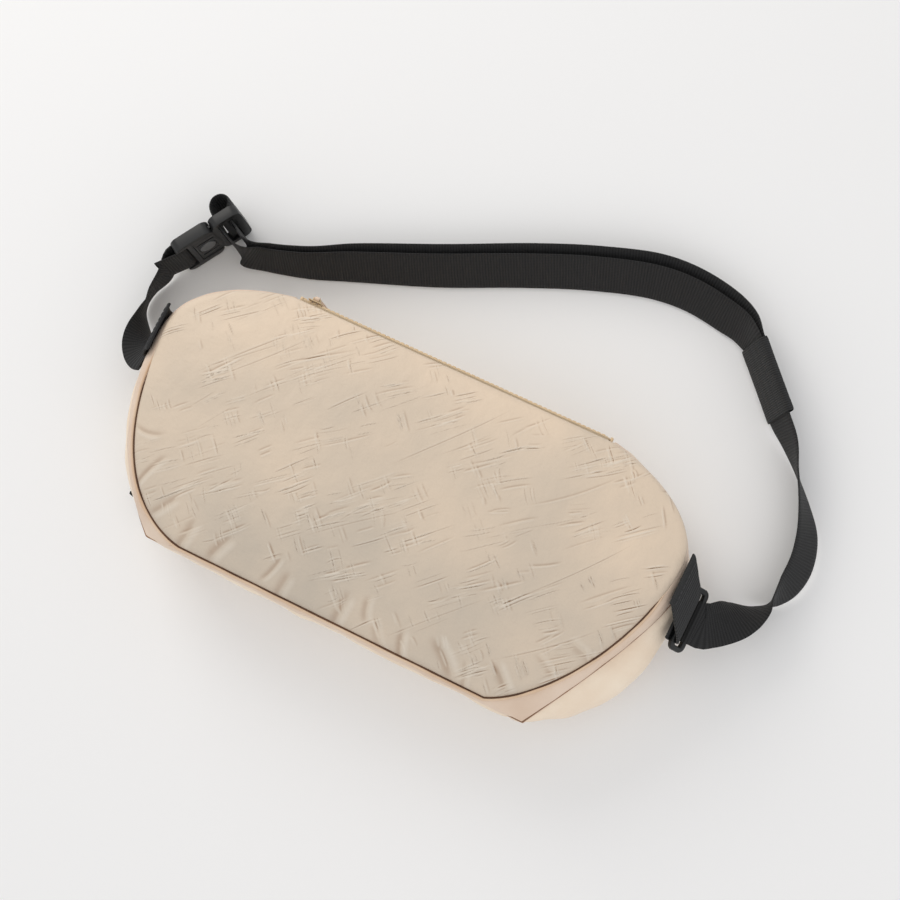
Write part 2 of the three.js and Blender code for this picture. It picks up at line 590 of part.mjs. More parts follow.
function addStrap() {
  place('strap_single', webbing(SINGLE_ROUTE, 90), WEBBING);
  place('strap_front', webbing(FRONT_ROUTE, 72), WEBBING);
  place('adjuster_loop', webbing(SLACK_LOOP, 30), WEBBING);
  place('strap_return', webbing(RETURN_ROUTE, 64), WEBBING);
  place('short_strap', webbing(SHORT_ROUTE, 60), WEBBING);

  const wall = { outer: [14.4, 2.9], inner: [13.2, 2] };
  const section = roundedRectangle(-wall.outer[0], -wall.outer[1], ...wall.outer, 1.2);
  section.holes.push(roundedRectangle(-wall.inner[0], -wall.inner[1], ...wall.inner, 0.8));
  const upright = new THREE.Matrix4().makeBasis(new THREE.Vector3(0, 1, 0),
    new THREE.Vector3(0, 0, 1), new THREE.Vector3(1, 0, 0));
  const sleeve = plate(section, -KEEPER.length / 2, KEEPER.length / 2, 3).applyMatrix4(upright);
  place('keeper', solid(sleeve), GROSGRAIN, keeperFrame());

  const loop = [[-143.4, -63.4, 10, 0, 90], [-147.5, -64.2, 10, 0, 90], [-152, -64.2, 10, 0, 90],
    [-155, -63, 10, 0, 90], [-152.2, -61.6, 10, 0, 90], [-148, -61.1, 10, 0, 90],
    [-145, -60.9, 10, 0, 90]];
  place('side_loop', webbing(loop, 20, 5, 0.8), WEBBING);
}

addShell();
addLining();
addZip();
addTabs();
addBuckle();
addStrap();

export default bag;
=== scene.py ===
"""Looks of a small padded sling bag with a webbing strap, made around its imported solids.

Metres, +Z up. The bag lies on its back: +X is its length, +Y its zip edge, +Z its front.
"""
import logging
import math
from dataclasses import dataclass, field
from enum import Enum
from typing import Callable, Iterable, NamedTuple, Optional, Sequence

import bmesh
import bpy
import numpy as np
from mathutils import Matrix, Vector


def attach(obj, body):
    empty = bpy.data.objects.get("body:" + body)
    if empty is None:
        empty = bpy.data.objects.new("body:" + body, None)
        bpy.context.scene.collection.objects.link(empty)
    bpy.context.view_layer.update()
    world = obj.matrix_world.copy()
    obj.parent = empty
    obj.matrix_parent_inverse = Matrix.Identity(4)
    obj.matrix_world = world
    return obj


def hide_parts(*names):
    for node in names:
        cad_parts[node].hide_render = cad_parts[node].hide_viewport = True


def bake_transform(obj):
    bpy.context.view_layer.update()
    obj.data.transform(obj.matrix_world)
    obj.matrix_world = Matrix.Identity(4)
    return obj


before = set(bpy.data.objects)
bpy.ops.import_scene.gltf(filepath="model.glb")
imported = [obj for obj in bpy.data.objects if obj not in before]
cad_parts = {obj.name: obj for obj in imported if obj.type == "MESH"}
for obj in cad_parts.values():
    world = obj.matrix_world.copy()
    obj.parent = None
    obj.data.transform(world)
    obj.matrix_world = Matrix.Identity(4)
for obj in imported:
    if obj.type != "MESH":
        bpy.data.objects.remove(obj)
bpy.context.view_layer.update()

MM = 0.001
CIRCLE = 2 * math.pi
WELD = 1e-6  # corners of a bent grid closer than this are one
LOG = logging.getLogger("sling_bag")
Array = np.ndarray
Where = Callable[[Array, Array], Array]
Socket = bpy.types.NodeSocket


# ---- Small tools ---------------------------------------------------------------------------

def linear(code: str) -> tuple[float, float, float, float]:
    """Turn an sRGB hex colour into linear RGBA."""
    parts = [int(code[i:i + 2], 16) / 255 for i in (0, 2, 4)]
    low = [c / 12.92 if c <= 0.04045 else ((c + 0.055) / 1.055) ** 2.4 for c in parts]
    return (low[0], low[1], low[2], 1.0)


def smooth(t: Array) -> Array:
    """Ease from 0 to 1 with level ends."""
    t = np.clip(t, 0, 1)
    return t * t * (3 - 2 * t)


def lerp(a, b, t):
    """Mix a and b by the share t."""
    return a + (b - a) * t


def squared(wave: Array, power: float) -> Array:
    """Push a sine wave out towards its limits."""
    return np.sign(wave) * np.abs(wave) ** power


def unit(rows: Array) -> Array:
    """Scale every row to a length of 1."""
    return rows / np.linalg.norm(rows, axis=1)[:, None]


def run_of(points: Array) -> Array:
    """Give how far along their line the points lie."""
    return np.r_[0, np.cumsum(np.linalg.norm(np.diff(points, axis=0), axis=1))]


def read_off(at, places: Array, table: Array) -> Array:
    """Interpolate every column of a table, known at the places, at one or more others."""
    return np.stack([np.interp(at, places, column) for column in table.T], axis=-1)


def hermite(b: Array, c: Array, leave: Array, arrive: Array, w: Array) -> Array:
    """Give the points at the shares w of cubics from b to c with these end slopes."""
    return b + w * (leave + w * (3 * (c - b) - 2 * leave - arrive
                                 + w * (2 * (b - c) + leave + arrive)))


def neighbours(rows: Array, t: Array, mirror: bool = True) -> tuple[Array, ...]:
    """Give the four rows round each place t and the share between the middle two."""
    ends = (2 * rows[:1] - rows[1:2], 2 * rows[-1:] - rows[-2:-1])
    rows = np.r_[ends[0] if mirror else rows[:1], rows, ends[1] if mirror else rows[-1:]]
    k = np.clip(t.astype(int), 0, len(rows) - 4)
    return rows[k], rows[k + 1], rows[k + 2], rows[k + 3], (t - k)[:, None]


def even_curve(rows: Array, t: Array, mirror: bool = True) -> Array:
    """Give the points at the places t of an even Catmull-Rom curve through the rows."""
    a, b, c, d, w = neighbours(rows, t, mirror)
    return hermite(b, c, (c - a) / 2, (d - b) / 2, w)


class Ripple:
    """A soft, even, repeatable unevenness: a sum of plane waves of about one length."""

    def __init__(self, seed: int, length: float, waves: int = 14) -> None:
        """Draw the waves, whose length is in metres."""
        draw = np.random.default_rng(seed)
        way = unit(draw.normal(size=(waves, 3)))
        self.ways = way * (CIRCLE / (length * draw.uniform(0.7, 1.5, waves)))[:, None]
        self.phases = draw.uniform(0, CIRCLE, waves)

    def at(self, spots: Array) -> Array:
        """Give the height, within about -1 to 1, at each spot."""
        return np.sin(spots @ self.ways.T + self.phases).sum(1) / math.sqrt(len(self.phases)) / 1.6


# ---- Materials -----------------------------------------------------------------------------

class Recipe:
    """A node material under construction. Its tools give the socket they end in."""

    def __init__(self, name: str) -> None:
        """Start a material with a Principled shader."""
        self.material = bpy.data.materials.new(name)
        self.material.use_nodes = True
        self.tree = self.material.node_tree
        self.tree.nodes.clear()
        self.shader = self.add("BsdfPrincipled")
        self.add("OutputMaterial", {0: self.shader.outputs[0]})

    def add(self, kind: str, inputs: Optional[dict] = None, **settings) -> bpy.types.Node:
        """Add a node with its settings and its inputs, which are values or sockets."""
        made = self.tree.nodes.new("ShaderNode" + kind)
        for key, value in settings.items():
            setattr(made, key, value)
        return self.feed(made, inputs or {})

    def feed(self, node: bpy.types.Node, inputs: dict) -> bpy.types.Node:
        """Give each input of a node its value or link it to its socket."""
        for key, value in inputs.items():
            if isinstance(value, Socket):
                self.tree.links.new(value, node.inputs[key])
            else:
                node.inputs[key].default_value = value
        return node

    @property
    def place(self) -> Socket:
        """The object's own coordinates."""
        return self.add("TexCoord").outputs["Object"]

    def noise(self, scale: float, detail: float, at: Optional[Socket] = None,
              **more: float) -> Socket:
        """Add noise over the object, or over other coordinates."""
        inputs = {"Scale": scale, "Detail": detail, "Vector": at or self.place, **more}
        return self.add("TexNoise", inputs).outputs[0]

    def math(self, operation: str, *terms) -> Socket:
        """Add a sum done with numbers and sockets."""
        return self.add("Math", dict(enumerate(terms)), operation=operation).outputs[0]

    def spread(self, source: Socket, *ends: float) -> Socket:
        """Map the range between the first two ends to that between the last two, or 0 to 1."""
        return self.add("MapRange", {0: source, **dict(enumerate(ends, 1))}).outputs[0]

    def bump(self, height: Socket, strength: float, depth: float,
             under: Optional[Socket] = None) -> Socket:
        """Add a bump with a depth in millimetres over the one under it."""
        inputs = {"Strength": strength, "Distance": depth * MM, "Height": height}
        if under:
            inputs["Normal"] = under
        return self.add("Bump", inputs).outputs[0]

    def tint(self, share: Socket, under: Socket, code: str) -> Socket:
        """Mix an sRGB hex colour over another colour."""
        inputs = {0: share, 6: under, 7: linear(code)}
        return self.add("Mix", inputs, data_type="RGBA").outputs[2]

    def ramp(self, source: Socket, *stops: tuple[float, str]) -> Socket:
        """Turn a number into a colour through two stops of (place, sRGB hex)."""
        made = self.add("ValToRGB", {0: source})
        for element, (place, code) in zip(made.color_ramp.elements, stops):
            element.position = place
            element.color = linear(code)
        return made.outputs[0]

    def surface(self, **inputs) -> bpy.types.Material:
        """Feed the shader's inputs, named with _ for a space, and give the material."""
        self.feed(self.shader, {key.replace("_", " "): inputs[key] for key in inputs})
        return self.material


@dataclass(frozen=True)
class CreasedCloth:
    """Washed, coated polyester that has been crumpled: satin, with fine permanent creases.

    The creases are painted paler on their ridges as a highlight, and painted a brown shade in their
    folds.
    """

    name: str = "creased_coated_polyester"
    cool: str = "c4b8a8"
    warm: str = "e6d1b9"
    # the fold colour is painted shade for the crease hollows, and the colour after it a painted
    # highlight for the ridges
    fold: str = "8f6a4c"
    painted_ridge_highlight: str = "ebe3d6"

    def make(self) -> bpy.types.Material:
        """Build the material."""
        r = Recipe(self.name)
        # broad clouds of 60 mm, and a warmer shade towards the zip
        rise = r.spread(r.add("SeparateXYZ", {0: r.place}).outputs["Y"], -0.09, 0.085, -0.22, 0.34)
        base = r.ramp(r.math("ADD", r.noise(16, 4), rise), (0.2, self.cool), (0.95, self.warm))
        crease = r.add("Attribute", attribute_name="crease").outputs["Fac"]
        # painted shade: the fold colour darkens the cloth where the crease relief sinks
        folded = r.tint(r.spread(crease, 0.0, -0.8, 0.0, 0.75), base, self.fold)
        # painted highlight: a pale colour lightens the cloth on the crease ridges
        wear_and_highlight = r.tint(r.spread(crease, 0.2, 1.2, 0.0, 0.4), folded, self.painted_ridge_highlight)
        # the weave is 0.25 mm in the real cloth and drawn at 0.6 mm so that it shows
        weave = r.bump(r.noise(1700, 2), 0.25, 0.2)
        crumple = r.bump(r.noise(220, 5, Roughness=0.6), 0.6, 1.1, weave)
        return r.surface(Base_Color=wear_and_highlight, Normal=crumple, Roughness=0.55, IOR=1.48,
                         Sheen_Weight=0.12, Sheen_Roughness=0.5)


class Texture(NamedTuple):
    """Noise of a scale and detail, or cells of a scale and looseness."""

    scale: float
    detail: float
    cells: bool = False

    def on(self, r: Recipe) -> Socket:
        """Add the texture to a material."""
        if not self.cells:
            return r.noise(self.scale, self.detail)
        inputs = {"Scale": self.scale, "Randomness": self.detail, "Vector": r.place}
        return r.add("TexVoronoi", inputs).outputs["Distance"]


@dataclass(frozen=True)
class Mottled:
    """Two shades mixed by a texture, with bumps of (texture, strength, depth in mm)."""

    name: str
    shades: tuple[str, str]
    stops: tuple[float, float]
    cloud: Texture
    bumps: tuple[tuple[Texture, float, float], ...]
    roughness: float
    settings: tuple[tuple[str, float], ...] = ()
    patchy: bool = False

    def make(self) -> bpy.types.Material:
        """Build the material."""
        r = Recipe(self.name)
        cloud = self.cloud.on(r)
        normal = None
        for texture, strength, depth in self.bumps:
            normal = r.bump(texture.on(r), strength, depth, normal)
        rough = self.roughness
        if self.patchy:
            rough = r.spread(cloud, 0.0, 1.0, rough - 0.06, rough + 0.1)
        return r.surface(Base_Color=r.ramp(cloud, *zip(self.stops, self.shades)),
                         Normal=normal, Roughness=rough, **dict(self.settings))


def smooth_cloth(name: str, pale: str, deep: str, roughness: float = 0.55) -> Mottled:
    """Give the coated polyester left uncrumpled, or a like cloth with a fine plain weave."""
    return Mottled(name, (deep, pale), (0.3, 0.72), Texture(28, 4),
                   ((Texture(1500, 2), 0.35, 0.2), (Texture(130, 4), 0.35, 1.2)), roughness,
                   (("IOR", 1.48), ("Sheen_Weight", 0.1)))


def moulded_plastic(name: str, color: str, wear_and_highlight: str, roughness: float = 0.42) -> Mottled:
    """Give injection-moulded plastic with a fine grain, smoother from wear in places."""
    return Mottled(name, (color, wear_and_highlight), (0.35, 0.8), Texture(110, 3),
                   ((Texture(2400, 1), 0.2, 0.15),), roughness, (("IOR", 1.48),), True)


@dataclass(frozen=True)
class NarrowWeave:
    """A woven strip: webbing, grosgrain or zip tape, matt, with ribs that follow its UV map.

    Webbing ribs are about 1 mm apart and are drawn 1.7 mm apart so that they show.
    """

    name: str
    thread: str
    gap: str
    pitch: float = 1.7 * MM
    depth: float = 0.35
    herringbone: bool = False

    def make(self) -> bpy.types.Material:
        """Build the material."""
        r = Recipe(self.name)
        strip = r.add("UVMap", uv_map="strip").outputs[0]
        along, across, _ = r.add("SeparateXYZ", {0: strip}).outputs
        if self.herringbone:
            along = r.math("ADD", along, r.math("PINGPONG", across, 4 * MM))
        rib = r.math("SINE", r.math("MULTIPLY", along, CIRCLE / self.pitch))
        yarn = r.math("SINE", r.math("MULTIPLY", across, CIRCLE / (1.1 * MM)))
        fibre = r.noise(2600, 2, strip)
        height = r.math("MULTIPLY_ADD", fibre, 0.8, r.math("MULTIPLY_ADD", yarn, 0.3, rib))
        base = r.ramp(r.spread(height, -1.3, 1.9), (0.25, self.gap), (0.75, self.thread))
        return r.surface(Base_Color=base, Normal=r.bump(height, 0.8, self.depth), Roughness=0.8,
                         IOR=1.45, Sheen_Weight=0.04)


HOLES = Texture(1 / (2.4 * MM), 0.15, True)
PORES = Texture(900, 1, True)
ENAMEL = Texture(300, 3)


class Finish(Enum):
    """Every finish on the bag, by what it is put on."""

    FRONT = CreasedCloth()
    SIDE = smooth_cloth("smooth_coated_polyester", "e8d3bf", "d8bea7")
    REAR = smooth_cloth("pale_coated_polyester", "f8e9d4", "ecd6bd")
    PIPING = smooth_cloth("cloth_covered_piping_cord", "e4cdb4", "cfae8e", 0.6)
    # painted shade: a dark brown cloth that stands for the shadow under the front panel's rolled
    # edge
    SEAM = smooth_cloth("painted_seam_shadow", "6b4a33", "4a3122", 0.85)
    # painted shade: a brown cloth that stands for the soft shadow under the ridge seam's lip
    RIDGE_SEAM = smooth_cloth("painted_ridge_shadow", "a07a5e", "7d5c44", 0.85)
    BACK = Mottled("polyester_spacer_mesh", ("6d5f4c", "d8c8ae"), (0.12, 0.34), HOLES,
                   ((HOLES, 0.8, 0.8),), 0.9)
    PADDING = Mottled("closed_cell_foam", ("dcdad0", "f0efe8"), (0.1, 0.5), PORES,
                      ((PORES, 0.4, 0.4),), 0.95)
    LINING = smooth_cloth("plain_woven_lining", "b9ac98", "a4967f", 0.85)
    ZIP_TAPE = NarrowWeave("woven_zip_tape", "e4cfae", "c4a682", 1.2 * MM, herringbone=True)
    ZIP_TEETH = moulded_plastic("moulded_acetal_teeth", "e0c49c", "ead2ae", 0.35)
    ZIP_METAL = Mottled("painted_die_cast_zinc", ("b89f78", "d6c09c"), (0.3, 0.6), ENAMEL,
                        ((ENAMEL, 0.15, 0.2),), 0.38, (("Coat_Weight", 0.3),))
    WEBBING = NarrowWeave("black_polyester_webbing", "232324", "121213", depth=0.14)
    GROSGRAIN = NarrowWeave("black_grosgrain_ribbon", "2b2c2d", "151516", 1.3 * MM, 0.2)
    BLACK_PLASTIC = moulded_plastic("black_moulded_acetal", "151617", "1c1d1e")
    GREY_PLASTIC = moulded_plastic("grey_moulded_acetal", "55575a", "66686b")
    THREAD = smooth_cloth("bonded_nylon_thread", "3a3a3c", "232325", 0.6)

    def put_on(self, piece: bpy.types.Object) -> None:
        """Give a piece this finish alone; its material is made once."""
        piece.data.materials.clear()
        piece.data.materials.append(bpy.data.materials.get(self.value.name)
                                    or self.value.make())


# ---- Making meshes -------------------------------------------------------------------------

def opened(mesh: bpy.types.Mesh) -> bmesh.types.BMesh:
    """Give a mesh as a bmesh."""
    bm = bmesh.new()
    bm.from_mesh(mesh)
    return bm


def written(bm: bmesh.types.BMesh, mesh: bpy.types.Mesh | str) -> bpy.types.Mesh:
    """Put a bmesh into a mesh, or into a new one of this name, and free it."""
    if isinstance(mesh, str):
        mesh = bpy.data.meshes.new(mesh)
    bm.to_mesh(mesh)
    bm.free()
    return mesh


def fill_and_orient(bm: bmesh.types.BMesh, fill: bool = True) -> None:
    """Close the open ends if asked and turn all faces outwards."""
    if fill:
        bmesh.ops.holes_fill(bm, edges=[e for e in bm.edges if e.is_boundary], sides=0)
    bmesh.ops.recalc_face_normals(bm, faces=bm.faces)


@dataclass
class Loft:
    """A grid that is bent into a shape, with u and v from 0 to 1 along its two sides."""

    name: str
    steps: tuple[int, int]
    where: Where
    closed: bool = False
    caps: bool = False
    strip: Optional[Where] = None
    extra: dict[str, Where] = field(default_factory=dict)

    def make(self) -> bpy.types.Object:
        """Bend the grid, weld what meets and close the ends."""
        bm = bmesh.new()
        bmesh.ops.create_grid(bm, x_segments=self.steps[0], y_segments=self.steps[1], size=0.5)
        mesh = written(bm, self.name)
        flat = np.zeros(len(mesh.vertices) * 3)
        mesh.vertices.foreach_get("co", flat)
        u, v = flat.reshape(-1, 3)[:, 0] + 0.5, flat.reshape(-1, 3)[:, 1] + 0.5
        mesh.vertices.foreach_set("co", np.asarray(self.where(u, v), float).ravel())
        if self.strip is not None:
            corner = np.zeros(len(mesh.loops), np.int32)
            mesh.loops.foreach_get("vertex_index", corner)
            layer = mesh.uv_layers.new(name="strip")
            layer.uv.foreach_set("vector", self.strip(u, v)[corner].astype(np.float32).ravel())
        for key, values in self.extra.items():
            made = mesh.attributes.new(key, "FLOAT", "POINT")
            made.data.foreach_set("value", values(u, v).astype(np.float32))
        bm = opened(mesh)
        if self.closed:
            bmesh.ops.remove_doubles(bm, verts=bm.verts, dist=WELD)
        fill_and_orient(bm, self.caps)
        return show(written(bm, mesh), self.name)


def placed(name: str, data: bpy.types.ID, matrix: Optional[Matrix] = None) -> bpy.types.Object:
    """Put an object with this data in the scene."""
    made = bpy.data.objects.new(name, data)
    if matrix is not None:
        made.matrix_world = matrix
    bpy.context.scene.collection.objects.link(made)
    return made


def show(mesh: bpy.types.Mesh, name: str, sharp: float = 40) -> bpy.types.Object:
    """Put a mesh in the scene, smooth but for edges sharper than so many degrees."""
    mesh.shade_smooth()
    mesh.set_sharp_from_angle(angle=math.radians(sharp))
    return placed(name, mesh)


def close_below(piece: bpy.types.Object, lower: Callable[[Vector], None]) -> None:
    """Close a cloth with a skirt from its rim, whose new corners are moved by lower."""
    bm = opened(piece.data)
    rim = [e for e in bm.edges if e.is_boundary]
    for made in bmesh.ops.extrude_edge_only(bm, edges=rim)["geom"]:
        if isinstance(made, bmesh.types.BMVert):
            lower(made.co)
    fill_and_orient(bm)
    written(bm, piece.data).shade_smooth()


def dress(piece: bpy.types.Object, finish: Finish,
          body: Optional[str] = "bag", nodes: Iterable[str] = ()) -> bpy.types.Object:
    """Give a piece its finish, the body it rides on and the solids it replaces.

    The body is None where the piece rides on no body.
    """
    finish.put_on(piece)
    if nodes:
        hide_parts(*nodes)
    if body:
        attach(piece, body)
    LOG.info("%s: %d faces, rides on %s", piece.name, len(piece.data.polygons), body)
    return piece


def softened(node: str, offset: float, segments: int = 2) -> bpy.types.Object:
    """Copy a solid and round its edges by so many metres, as a mould does."""
    bm = opened(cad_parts[node].data)
    bmesh.ops.remove_doubles(bm, verts=bm.verts, dist=2 * WELD)
    bmesh.ops.dissolve_limit(bm, angle_limit=math.radians(2), verts=bm.verts, edges=bm.edges)
    hard = [e for e in bm.edges if e.is_manifold and e.calc_face_angle(0) > math.radians(28)]
    bmesh.ops.bevel(bm, geom=hard, offset=offset, offset_type="OFFSET", segments=segments,
                    profile=0.5, affect="EDGES", clamp_overlap=True, material=-1)
    fill_and_orient(bm, False)
    return show(written(bm, node + "_moulded"), node + "_moulded", 30)


def stitches(name: str, spots: Array, ups: Array, length: float = 2.4 * MM,
             pitch: float = 3.2 * MM, radius: float = 0.28 * MM) -> bpy.types.Object:
    """Lay lock stitches along a line of spots, with ups as the ways out of the cloth."""
    runs = run_of(spots)
    near = 0.1 * MM
    bm = bmesh.new()
    for at in np.arange(pitch / 2, runs[-1], pitch):
        middle, ahead, behind = (Vector(read_off(place, runs, spots)) for place in (
            at, min(at + near, runs[-1]), max(at - near, 0)))
        along = (ahead - behind).normalized()
        up = Vector(read_off(at, runs, ups))
        up = (up - along * up.dot(along)).normalized()
        turn = Matrix((along, up.cross(along), up)).transposed().to_4x4()
        size = Matrix.Diagonal((length / 2, radius, radius * 0.8, 1))
        bmesh.ops.create_uvsphere(bm, u_segments=6, v_segments=5, radius=1.0,
                                  matrix=Matrix.Translation(middle) @ turn @ size
                                  @ Matrix.Rotation(math.pi / 2, 4, "Y"))
    return show(written(bm, name), name, 80)


# ---- Outlines of the bag -------------------------------------------------------------------

TOP_END, SHOULDER_END, HIP_END, HALF = 4.0, 12.0, 22.0, 26.0
ROUND = 2 * HALF  # steps once round an outline
PER_STEP = 40  # points of an outline for each step


@dataclass(frozen=True)
class Side:
    """One side of an outline: its reach from the middle, the height where it is widest, and
    the handles that set how full its shoulder and its hip are. Millimetres and degrees."""

    half: float
    waist: float
    shoulder: tuple[float, float]
    hip: tuple[float, float]
    hip_angle: float


@dataclass
class Edge:
    """A seam's outline seen from the front, in millimetres, from its straight top and bottom.

    A place on it is a step: 0 is the middle of the top, and steps run clockwise.
    """

    top: float
    top_flat: float
    bottom: float
    bottom_flat: float
    right: Side
    left: Side

    def __post_init__(self) -> None:
        """Sample the outline and its outward directions."""
        steps = np.linspace(0, HALF, int(HALF) * PER_STEP + 1)
        left = self.half_outline(self.left, steps)[::-1][1:] * [-1, 1]
        self.steps = np.r_[steps, ROUND - steps[::-1][1:]]
        self.points = np.r_[self.half_outline(self.right, steps), left] * MM
        along = np.gradient(np.r_[self.points[-2:-1], self.points, self.points[1:2]], axis=0)
        along = unit(along[1:-1])
        self.outward = np.c_[-along[:, 1], along[:, 0]]

    def half_outline(self, side: Side, steps: Array) -> Array:
        """Give the points of one side, with X growing outwards, at the steps."""
        turn = math.radians(side.hip_angle)
        widest = np.array([side.half, side.waist])
        top = np.array([self.top_flat, self.top])
        bottom = np.array([self.bottom_flat, self.bottom])
        hip_end = bottom + side.hip[1] * np.array([math.cos(turn), math.sin(turn)])

        def bezier(p: Sequence[Array]) -> Callable[[Array], Array]:
            """A cubic with the four control points p."""
            return lambda t: ((1 - t) ** 3 * p[0] + 3 * t * (1 - t) ** 2 * p[1]
                              + 3 * t * t * (1 - t) * p[2] + t ** 3 * p[3])

        spans = [
            (0.0, TOP_END, lambda t: lerp(np.array([0, self.top]), top, t)),
            (TOP_END, SHOULDER_END, bezier(
                [top, top + [side.shoulder[0], 0], widest + [0, side.shoulder[1]], widest])),
            (SHOULDER_END, HIP_END, bezier(
                [widest, widest - [0, side.hip[0]], hip_end, bottom])),
            (HIP_END, HALF, lambda t: lerp(bottom, np.array([0, self.bottom]), t))]
        points = np.zeros((len(steps), 2))
        for low, high, curve in spans:
            here = (steps >= low - 1e-9) & (steps <= high + 1e-9)
            points[here] = curve((steps[here, None] - low) / (high - low))
        return points

    def at(self, step: Array, inset: Array | float = 0.0) -> Array:
        """Give the XY points at the steps, moved inwards by inset metres."""
        points = read_off(np.mod(step, ROUND), self.steps, self.points)
        return points - self.out(step) * np.broadcast_to(inset, step.shape)[:, None]

    def out(self, step: Array) -> Array:
        """Give the outward directions at the steps."""
        return unit(read_off(np.mod(step, ROUND), self.steps, self.outward))


FRONT = Edge(79.5, 100, -79.5, 97, Side(163.5, 32, (3.7, 36.1), (41.6, 34.8), 22),
             Side(163.5, 32, (3.7, 36.1), (69.8, 35.3), 8.4))
RIDGE = Edge(79.5, 102, -81.5, 121, Side(167.5, 22, (14, 32.1), (26.6, 3), 76),
             Side(169.8, 18, (3, 56), (50.5, 22.9), 42.4))
BELLY_SIDE = Side(170.5, 6, (26, 50), (50, 36), 8)
BELLY = Edge(78.5, 102, -80.5, 106, BELLY_SIDE, BELLY_SIDE)
BACK_SIDE = Side(163, 4, (26, 46), (46, 34), 8)
BACK = Edge(72, 94, -75, 100, BACK_SIDE, BACK_SIDE)
SEAM_Z, RIDGE_Z, BELLY_Z = 62 * MM, 48 * MM, 15 * MM
CROWN = 14 * MM


def open_seam(step: Array) -> Array:
    """Say where the front seam shows: 1 round the hips and the bottom, 0 along the top."""
    wrapped = np.mod(step, ROUND)
    return smooth((wrapped - 12.0) / 2.4) * smooth((40.4 - wrapped) / 2.4)


# ---- Bag shell -----------------------------------------------------------------------------

UPPER, LOWER = 8.0, 17.0  # steps of a net's corners
RIM_POINTS, RIM_ANGLES = 600, 2000


@dataclass
class Patch:
    """A four-sided net over the inside of an outline, even enough for fine cloth."""

    edge: Edge
    inset: float
    hugging: bool = False

    def rim(self, steps: Array) -> Array:
        """Give the net's own edge, which reaches the outline where the seam is hidden."""
        shown = open_seam(steps) if self.hugging else np.ones(len(steps))
        return self.edge.at(steps, lerp(-0.1 * MM, self.inset, shown))

    def side(self, start: float, end: float) -> Array:
        """Sample the rim between two steps at even distances."""
        points = self.rim(np.linspace(start, end, RIM_POINTS))
        run = run_of(points)
        return read_off(np.linspace(0, run[-1], RIM_POINTS), run, points)

    def at(self, u: Array, v: Array) -> Array:
        """Give the XY points at u to the right and v upwards."""
        even = np.linspace(0, 1, RIM_POINTS)
        sides = [self.side(*ends) for ends in (
            (-UPPER, UPPER), (ROUND - LOWER, LOWER), (ROUND - LOWER, ROUND - UPPER),
            (LOWER, UPPER))]
        top, bottom, left, right = (read_off(t, even, p) for p, t in zip(sides, (u, u, v, v)))
        corners = [sides[1][0], sides[1][-1], sides[0][0], sides[0][-1]]
        u, v = u[:, None], v[:, None]
        return ((1 - v) * bottom + v * top + (1 - u) * left + u * right
                - (1 - u) * (1 - v) * corners[0] - u * (1 - v) * corners[1]
                - (1 - u) * v * corners[2] - u * v * corners[3])

    def share(self, points: Array) -> tuple[Array, Array]:
        """Give how far out from the middle each point lies, 1 on the rim, and the rim's reach."""
        rim = self.rim(np.linspace(0, ROUND, RIM_ANGLES))
        angle = np.arctan2(rim[:, 1], rim[:, 0])
        order = np.argsort(angle)
        reach = np.interp(np.arctan2(points[:, 1], points[:, 0]), angle[order],
                          np.linalg.norm(rim, axis=1)[order], period=CIRCLE)
        return np.linalg.norm(points, axis=1) / reach, reach


@dataclass
class Crease:
    """A pressed-in crease: two fine ridges with a fold between them."""

    middle: Array
    angle: float
    length: float
    bow: float
    width: float
    height: float
    single: bool = False

    def add_to(self, height: Array, points: Array) -> None:
        """Raise the heights of the points that the crease reaches."""
        along = np.array([math.cos(self.angle), math.sin(self.angle)])
        box = np.flatnonzero((np.abs(points - self.middle) < self.length / 2 + 3 * MM).all(1))
        off = points[box] - self.middle
        s = off @ along
        t = off @ np.array([-along[1], along[0]]) - self.bow * (1 - (2 * s / self.length) ** 2)
        near = (np.abs(s) < self.length / 2) & (np.abs(t) < 4 * self.width)
        s, t, box = s[near], t[near] / self.width, box[near]
        fade = smooth((self.length / 2 - np.abs(s)) / (0.32 * self.length))
        if self.single:
            shape = np.exp(-(t / 0.8) ** 2) - 0.45 * np.exp(-((t - 1.5) / 0.9) ** 2)
        else:
            shape = (np.exp(-((t - 1) / 0.6) ** 2) + 0.8 * np.exp(-((t + 1) / 0.6) ** 2)
                     - 0.8 * np.exp(-(t / 0.55) ** 2))
        height[box] += self.height * fade * shape


